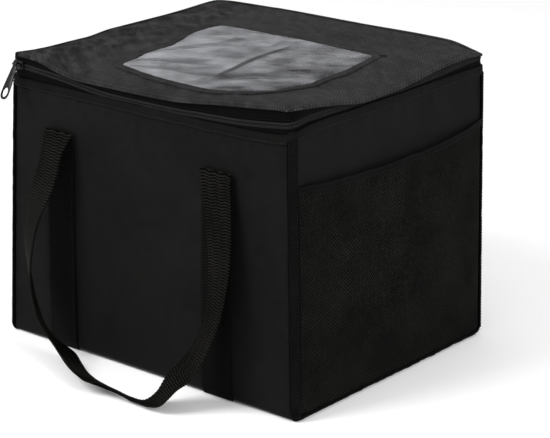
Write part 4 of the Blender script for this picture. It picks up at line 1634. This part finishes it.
def lid_sides():
    """Zip tape of the lid and the side strip above it."""
    ext, P, N, s = round_back()
    under = lid_top(P[:, 0] * 1.004, P[:, 1] - 2.5 * (N[:, 1] < -0.5)) - ROLL_Z
    lo = zip_height(ext) + 0.6
    gap = np.maximum(under - lo, 1.6)
    tape_h = np.minimum(4.6, 0.62 * gap)
    b = Build()
    k = np.linspace(0, 1, 8)
    wv = 0.3 * noise(s / 12, 1.3, 0.1, 161)
    face = [np.column_stack([P + N * (0.35 + 0.5 * math.sin(kk * math.pi) + wv * kk)[:, None], lo + tape_h * kk]) for kk in k]
    rear = [np.column_stack([P - N * 0.5, lo + tape_h * kk]) for kk in k[::-1]]
    G = np.stack(face + rear, 1)
    b.grid(G, cv=True, caps=True, st=np.stack([np.broadcast_to(s[:, None], G.shape[:2]), G[..., 2]], -1))
    b.make("tape_lid", [M_TAPE], "lid", ("zipper_tape_lid",))
    # side strip: folded hem over the tape, then up into the edge of the lid; it goes on round the back corners
    b = Build()
    z0 = lo + tape_h - 1.2
    z1 = under + 1.8
    k = A([0.0, 0.05, 0.16, 0.3, 0.45, 0.6, 0.75, 0.88, 1.0])
    wv = 0.5 * noise(s / 22, 0.3, 0.6, 163)
    outw = A([0.7, 1.3, 1.5, 1.6, 1.7, 1.7, 1.6, 1.4, 1.0])
    slack = 0.9 * smooth(95, 140, P[:, 1]) * smooth(150, 178, P[:, 0]) * (1 - 0.8 * smooth(0.3, 0.9, N[:, 1]))
    face = [np.column_stack([P + N * (o_ + slack + wv * math.sin(kk * math.pi) + 0.2 * noise(s / 8, kk * 3, 0.4, 165))[:, None], z0 + (z1 - z0) * kk]) for kk, o_ in zip(k, outw)]
    rear = [np.column_stack([P + N * 0.6, z0 + (z1 - z0) * kk]) for kk in k[::-1]]
    G = np.stack(face + rear, 1)
    b.grid(G, cv=True, caps=True, st=np.stack([np.broadcast_to(s[:, None], G.shape[:2]), G[..., 2]], -1))
    sew(b, np.column_stack([P + N * (1.6 + slack)[:, None], z0 + 1.0]), np.column_stack([N, 0 * s]), 3.2, 1)
    return b.make("lid_side_strip", [M_TAPE, M_DARKTHREAD], "lid", ("lid_boxing_strip",))


def hinge_strip():
    b = Build()
    x = np.linspace(-172, 172, 180)
    lo = band_top(np.column_stack([x, np.full(len(x), 156.0)])) - 4
    top = lid_top(LX(x), np.full(len(x), 155.0)) - ROLL_Z + 0.6
    k = np.linspace(0, 1, 12)
    X = x * (1 - 0.014 * 285 / 275)
    rows = []
    for kk in k:
        z = lo + (top - lo) * kk
        y = 154.3 + 0.7 * math.sin(kk * math.pi) + 0.35 * noise(x / 16, kk * 2, 0.1, 171) * math.sin(kk * math.pi)
        rows.append(np.column_stack([X, y, z]))
    P = np.stack(rows, 1)
    b.sheet(P, 1.2, st=np.stack([np.broadcast_to(x[:, None], P.shape[:2]), P[..., 2]], -1))
    sew(b, np.column_stack([X, np.full(len(x), 155.4), lo + 5.6]), np.tile([0, 1.0, 0], (len(x), 1)), 3.3, 1)
    o = b.make("hinge_cloth", [M_SHELL, M_THREAD], "bag", ("lid_hinge_strip",))
    return o


# ================================================================ slider, pull, stops
def outline_solid(name, loops, thick, bevel, frame_at, mats, body, node, extra=None, crown=0.0):
    """A flat stamped part: outer loop and holes in local x, z, extruded along local y and rounded."""
    bm = bmesh.new()
    edges = []
    for lp in loops:
        vs = [bm.verts.new((p[0], -thick / 2, p[1])) for p in lp]
        edges += [bm.edges.new((vs[i], vs[(i + 1) % len(vs)])) for i in range(len(vs))]
    bmesh.ops.triangle_fill(bm, use_beauty=True, edges=edges)
    r = bmesh.ops.extrude_face_region(bm, geom=bm.faces[:])
    vs = [g for g in r["geom"] if isinstance(g, bmesh.types.BMVert)]
    bmesh.ops.translate(bm, verts=vs, vec=(0, thick, 0))
    bmesh.ops.recalc_face_normals(bm, faces=bm.faces[:])
    if extra:
        extra(bm)
    me = bpy.data.meshes.new(name)
    bm.to_mesh(me)
    bm.free()
    me.transform(Matrix.Scale(0.001, 4))
    me.transform(frame_at)
    for m in mats:
        me.materials.append(m)
    o = bpy.data.objects.new(name, me)
    bpy.context.scene.collection.objects.link(o)
    md = o.modifiers.new("round", "BEVEL")
    md.width, md.segments, md.limit_method, md.angle_limit = bevel * 0.001, 3, "ANGLE", math.radians(40)
    md.harden_normals = False
    for p in me.polygons:
        p.use_smooth = True
    dg = bpy.context.evaluated_depsgraph_get()
    done = bpy.data.meshes.new_from_object(o.evaluated_get(dg))
    o.modifiers.clear()
    o.data = done
    done.set_sharp_from_angle(angle=math.radians(50))
    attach(o, body)
    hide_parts(node)
    return o


def rod(b, path, r, k=10, flat=1.0, m=0):
    """A round rod along a polyline."""
    P = A(path, float)
    T = unit(np.gradient(P, axis=0))
    ref = A([0.0, 0.0, 1.0])
    U = unit(np.cross(T, ref))
    Vv = np.cross(U, T)
    th = TAU * np.arange(k) / k
    G = P[:, None] + U[:, None] * (r * np.cos(th))[None, :, None] + Vv[:, None] * (r * flat * np.sin(th))[None, :, None]
    b.grid(G, cv=True, caps=True, m=m)


SX, BAR_Y, BAR_Z = -168.0, -162.4, 289.2


def slider():
    b = Build()

    def plate(y_out, y_in, grow, zc, crown):
        # shield shape: wide where the chain parts enter, narrow at the tail
        t = np.linspace(0, TAU, 49)[:-1]
        px = 7.0 * np.sign(np.cos(t)) * np.abs(np.cos(t)) ** 0.62
        half = 4.3 - 0.9 * smooth(0, 7, px) + 0.0 * px
        pz = half * np.sign(np.sin(t)) * np.abs(np.sin(t)) ** 0.55
        lp = np.column_stack([px, pz]) + 0
        rows = []
        for f in (0.1, 0.5, 0.8, 0.93):
            rows.append((lp * f, y_in))
        for f, y in ((0.985, y_in - 0.08), (1.0, y_in - 0.35), (1.0, y_out + 0.55), (0.985, y_out + 0.25), (0.93, y_out + 0.05)):
            rows.append((lp * f, y))
        for f in (0.8, 0.5, 0.1):
            rows.append((lp * f, y_out - crown * (1 - f ** 2)))
        G = np.stack([np.column_stack([SX + q[:, 0], np.full(len(q), y), zc + q[:, 1]]) for q, y in rows])
        b.grid(G, cv=True, caps=True)

    plate(-159.1, -157.35, 1, 288.4, 0.25)
    # side flanges that hold the chain
    for dz in (-1, 1):
        zc = 288.4 + dz * 3.75
        P = [(SX - 6.2 + 12.4 * t, -156.9, zc - dz * 0.6 * smooth(0.4, 1.0, t)) for t in np.linspace(0, 1, 14)]
        rod(b, P, 0.7, 8)
    # diamond between the two mouths, seen from the nose
    rod(b, [(SX - 6.6, y, 288.4) for y in np.linspace(-157.4, -156.2, 4)], 1.1, 8)
    # bridge that carries the pull
    arch = [(-5.4, -158.9), (-5.2, -160.6), (-4.6, -161.8), (-3.6, -162.35), (-1.5, -162.4), (1.5, -162.4), (3.6, -162.35), (4.6, -161.8), (5.2, -160.6), (5.4, -158.9)]
    q = A(arch)
    s = np.concatenate([[0], np.cumsum(np.linalg.norm(np.diff(q, axis=0), axis=1))])
    c = hermite(q, s, np.linspace(0, s[-1], 34))
    rod(b, np.column_stack([SX + c[:, 0], c[:, 1], np.full(len(c), BAR_Z)]), 0.82, 10)
    # feet of the bridge
    for dx in (-5.4, 5.4):
        rod(b, [(SX + dx, y, BAR_Z) for y in np.linspace(-158.7, -160.2, 5)], 1.25, 10, 1.0)
    return b.make("slider_body", [M_METAL], "slider", ("zipper_slider",), sharp=50)


def pull():
    # outline in local x and z, hanging down from the bar
    right_ = [(2.3, 1.6), (2.6, -1.5), (3.2, -6), (3.8, -12), (4.4, -18), (4.8, -23.5), (4.95, -28)]
    tip = [(-0.2 + 5.15 * math.cos(a), -30.5 - 6.6 * math.sin(a)) for a in np.linspace(0.06, math.pi - 0.06, 15)]
    left_ = [(-5.2, -28), (-5.0, -23.5), (-4.5, -18), (-3.8, -12), (-3.2, -6), (-2.6, -1.5), (-2.3, 1.6)]
    topc = [(-1.6, 2.1), (0, 2.25), (1.6, 2.1)]
    outer = right_ + tip + left_ + topc
    hole = [(-0.1 + 3.4 * math.cos(a), -29.6 + 5.0 * math.sin(a)) for a in np.linspace(0, TAU, 25)[:-1]]

    def more(bm):
        # three grip bars and a raised rim round the hole
        for z in (-8.5, -10.4, -12.3):
            for sy in (-1, 1):
                m = Matrix.Translation((0, sy * 0.72, z)) @ Matrix.Diagonal((5.0, 0.5, 0.75, 1))
                bmesh.ops.create_cube(bm, size=1.0, matrix=m)

    rot = Matrix.Translation((SX * 0.001, BAR_Y * 0.001, BAR_Z * 0.001)) @ Matrix.Rotation(-math.radians(30), 4, "X")
    o = outline_solid("pull_tab", [outer, hole], 1.4, 0.32, rot, [M_METAL], "pull", "zipper_pull", more)
    # knuckle round the bar
    b = Build()
    R = A(rot.to_3x3())
    t = A(rot.translation) * 1000
    th = np.linspace(math.radians(-60), math.radians(240), 30)
    sec = []
    for x in (-2.1, -1.8, 1.8, 2.1):
        sec.append(x)
    k = 10
    for_ = []
    ph = TAU * np.arange(k) / k
    c = np.stack([np.zeros(len(th)), 1.55 * np.cos(th), 1.55 * np.sin(th)], 1)
    rad = unit(c)
    G = c[:, None] + A([1.0, 0, 0])[None, None] * (2.25 * np.sign(np.cos(ph)) * np.abs(np.cos(ph)) ** 0.5)[None, :, None] + rad[:, None] * (0.52 * np.sign(np.sin(ph)) * np.abs(np.sin(ph)) ** 0.6)[None, :, None]
    b.grid(G @ R.T + t, cv=True, caps=True)
    # rim round the hole
    a = np.linspace(0, TAU, 49)[:-1]
    for sy in (-1, 1):
        c = np.stack([-0.1 + 3.95 * np.cos(a), np.full(len(a), sy * 0.68), -29.6 + 5.55 * np.sin(a)], 1)
        rad = unit(np.stack([np.cos(a), 0 * a, np.sin(a)], 1))
        ph = TAU * np.arange(8) / 8
        G = c[:, None] + rad[:, None] * (0.36 * np.cos(ph))[None, :, None] + A([0, 1.0, 0])[None, None] * (0.3 * np.sin(ph))[None, :, None]
        b.grid(G @ R.T + t, cu=True, cv=True)
    k2 = b.make("pull_knuckle", [M_METAL], "pull", ())
    return o


def stops():
    i0, i1 = 0, len(ZP) - 1
    for nm, node, body, sx, dz in (("stop_body_left", "zipper_stop_body_left", "bag", -1, -1.1), ("stop_body_right", "zipper_stop_body_right", "bag", 1, -1.1),
                                   ("stop_lid_left", "zipper_stop_lid_left", "lid", -1, 1.1), ("stop_lid_right", "zipper_stop_lid_right", "lid", 1, 1.1)):
        b = Build()
        i = i0 if sx < 0 else i1
        c = A([ZXY[i, 0], ZXY[i, 1] + 1.4, ZH[i] + dz])
        # a clip bent round the tape's edge
        th = np.linspace(-math.pi * 0.86, math.pi * 0.86, 22)
        P = np.stack([c[0] + sx * 1.45 * np.cos(th), c[1] + 0 * th, c[2] + 1.05 * np.sin(th)], 1)
        rad = unit(np.stack([sx * np.cos(th), 0 * th, np.sin(th)], 1))
        k = 10
        ph = TAU * np.arange(k) / k
        G = P[:, None] + A([0, 1.0, 0])[None, None] * (1.2 * np.sign(np.cos(ph)) * np.abs(np.cos(ph)) ** 0.5)[None, :, None] + rad[:, None] * (0.3 * np.sin(ph))[None, :, None]
        b.grid(G, cv=True, caps=True)
        b.make(nm, [M_METAL], body, (node,))


# ================================================================ put together
lofted_shell()
edge_binding(1, "binding_right", "right_edge_binding")
edge_binding(-1, "binding_left", "left_edge_binding")
rim_band()
base_board()
pad("pad_base", "foam_base", -183, 183, -155, 155, 4.4, 12.3, n=5)
pad("pad_front", "foam_front", -179, 179, -155.2, -147.3, 12.7, 281.5, lean_y(-1))
pad("pad_back", "foam_back", -179, 179, 147.3, 155.2, 12.7, 281.5, lean_y(1))
pad("pad_right", "foam_right", 180.3, 188.2, -146.6, 146.6, 12.7, 281.5, lean_x(1))
pad("pad_left", "foam_left", -188.2, -180.3, -146.6, 146.6, 12.7, 281.5, lean_x(-1))
liner_tub()
pocket_hem()
n_ = net()
sewn_webbing("web_front_left", "front_webbing_left", -1, -112)
sewn_webbing("web_front_right", "front_webbing_right", -1, 93)
sewn_webbing("web_back_left", "back_webbing_left", 1, -112)
sewn_webbing("web_back_right", "back_webbing_right", 1, 93)
handle("strap_front", "front_handle_strap", "front_handle", -1)
handle("strap_back", "back_handle_strap", "back_handle", 1)
body_tape()
teeth("teeth_body", "zipper_coil_body", "bag", False, 0.0)
teeth("teeth_lid", "zipper_coil_lid", "lid", True, 1.1)
hinge_strip()
lid_panel()
lid_binding()
window_parts()
lid_inside()
lid_sides()
slider()
pull()
stops()
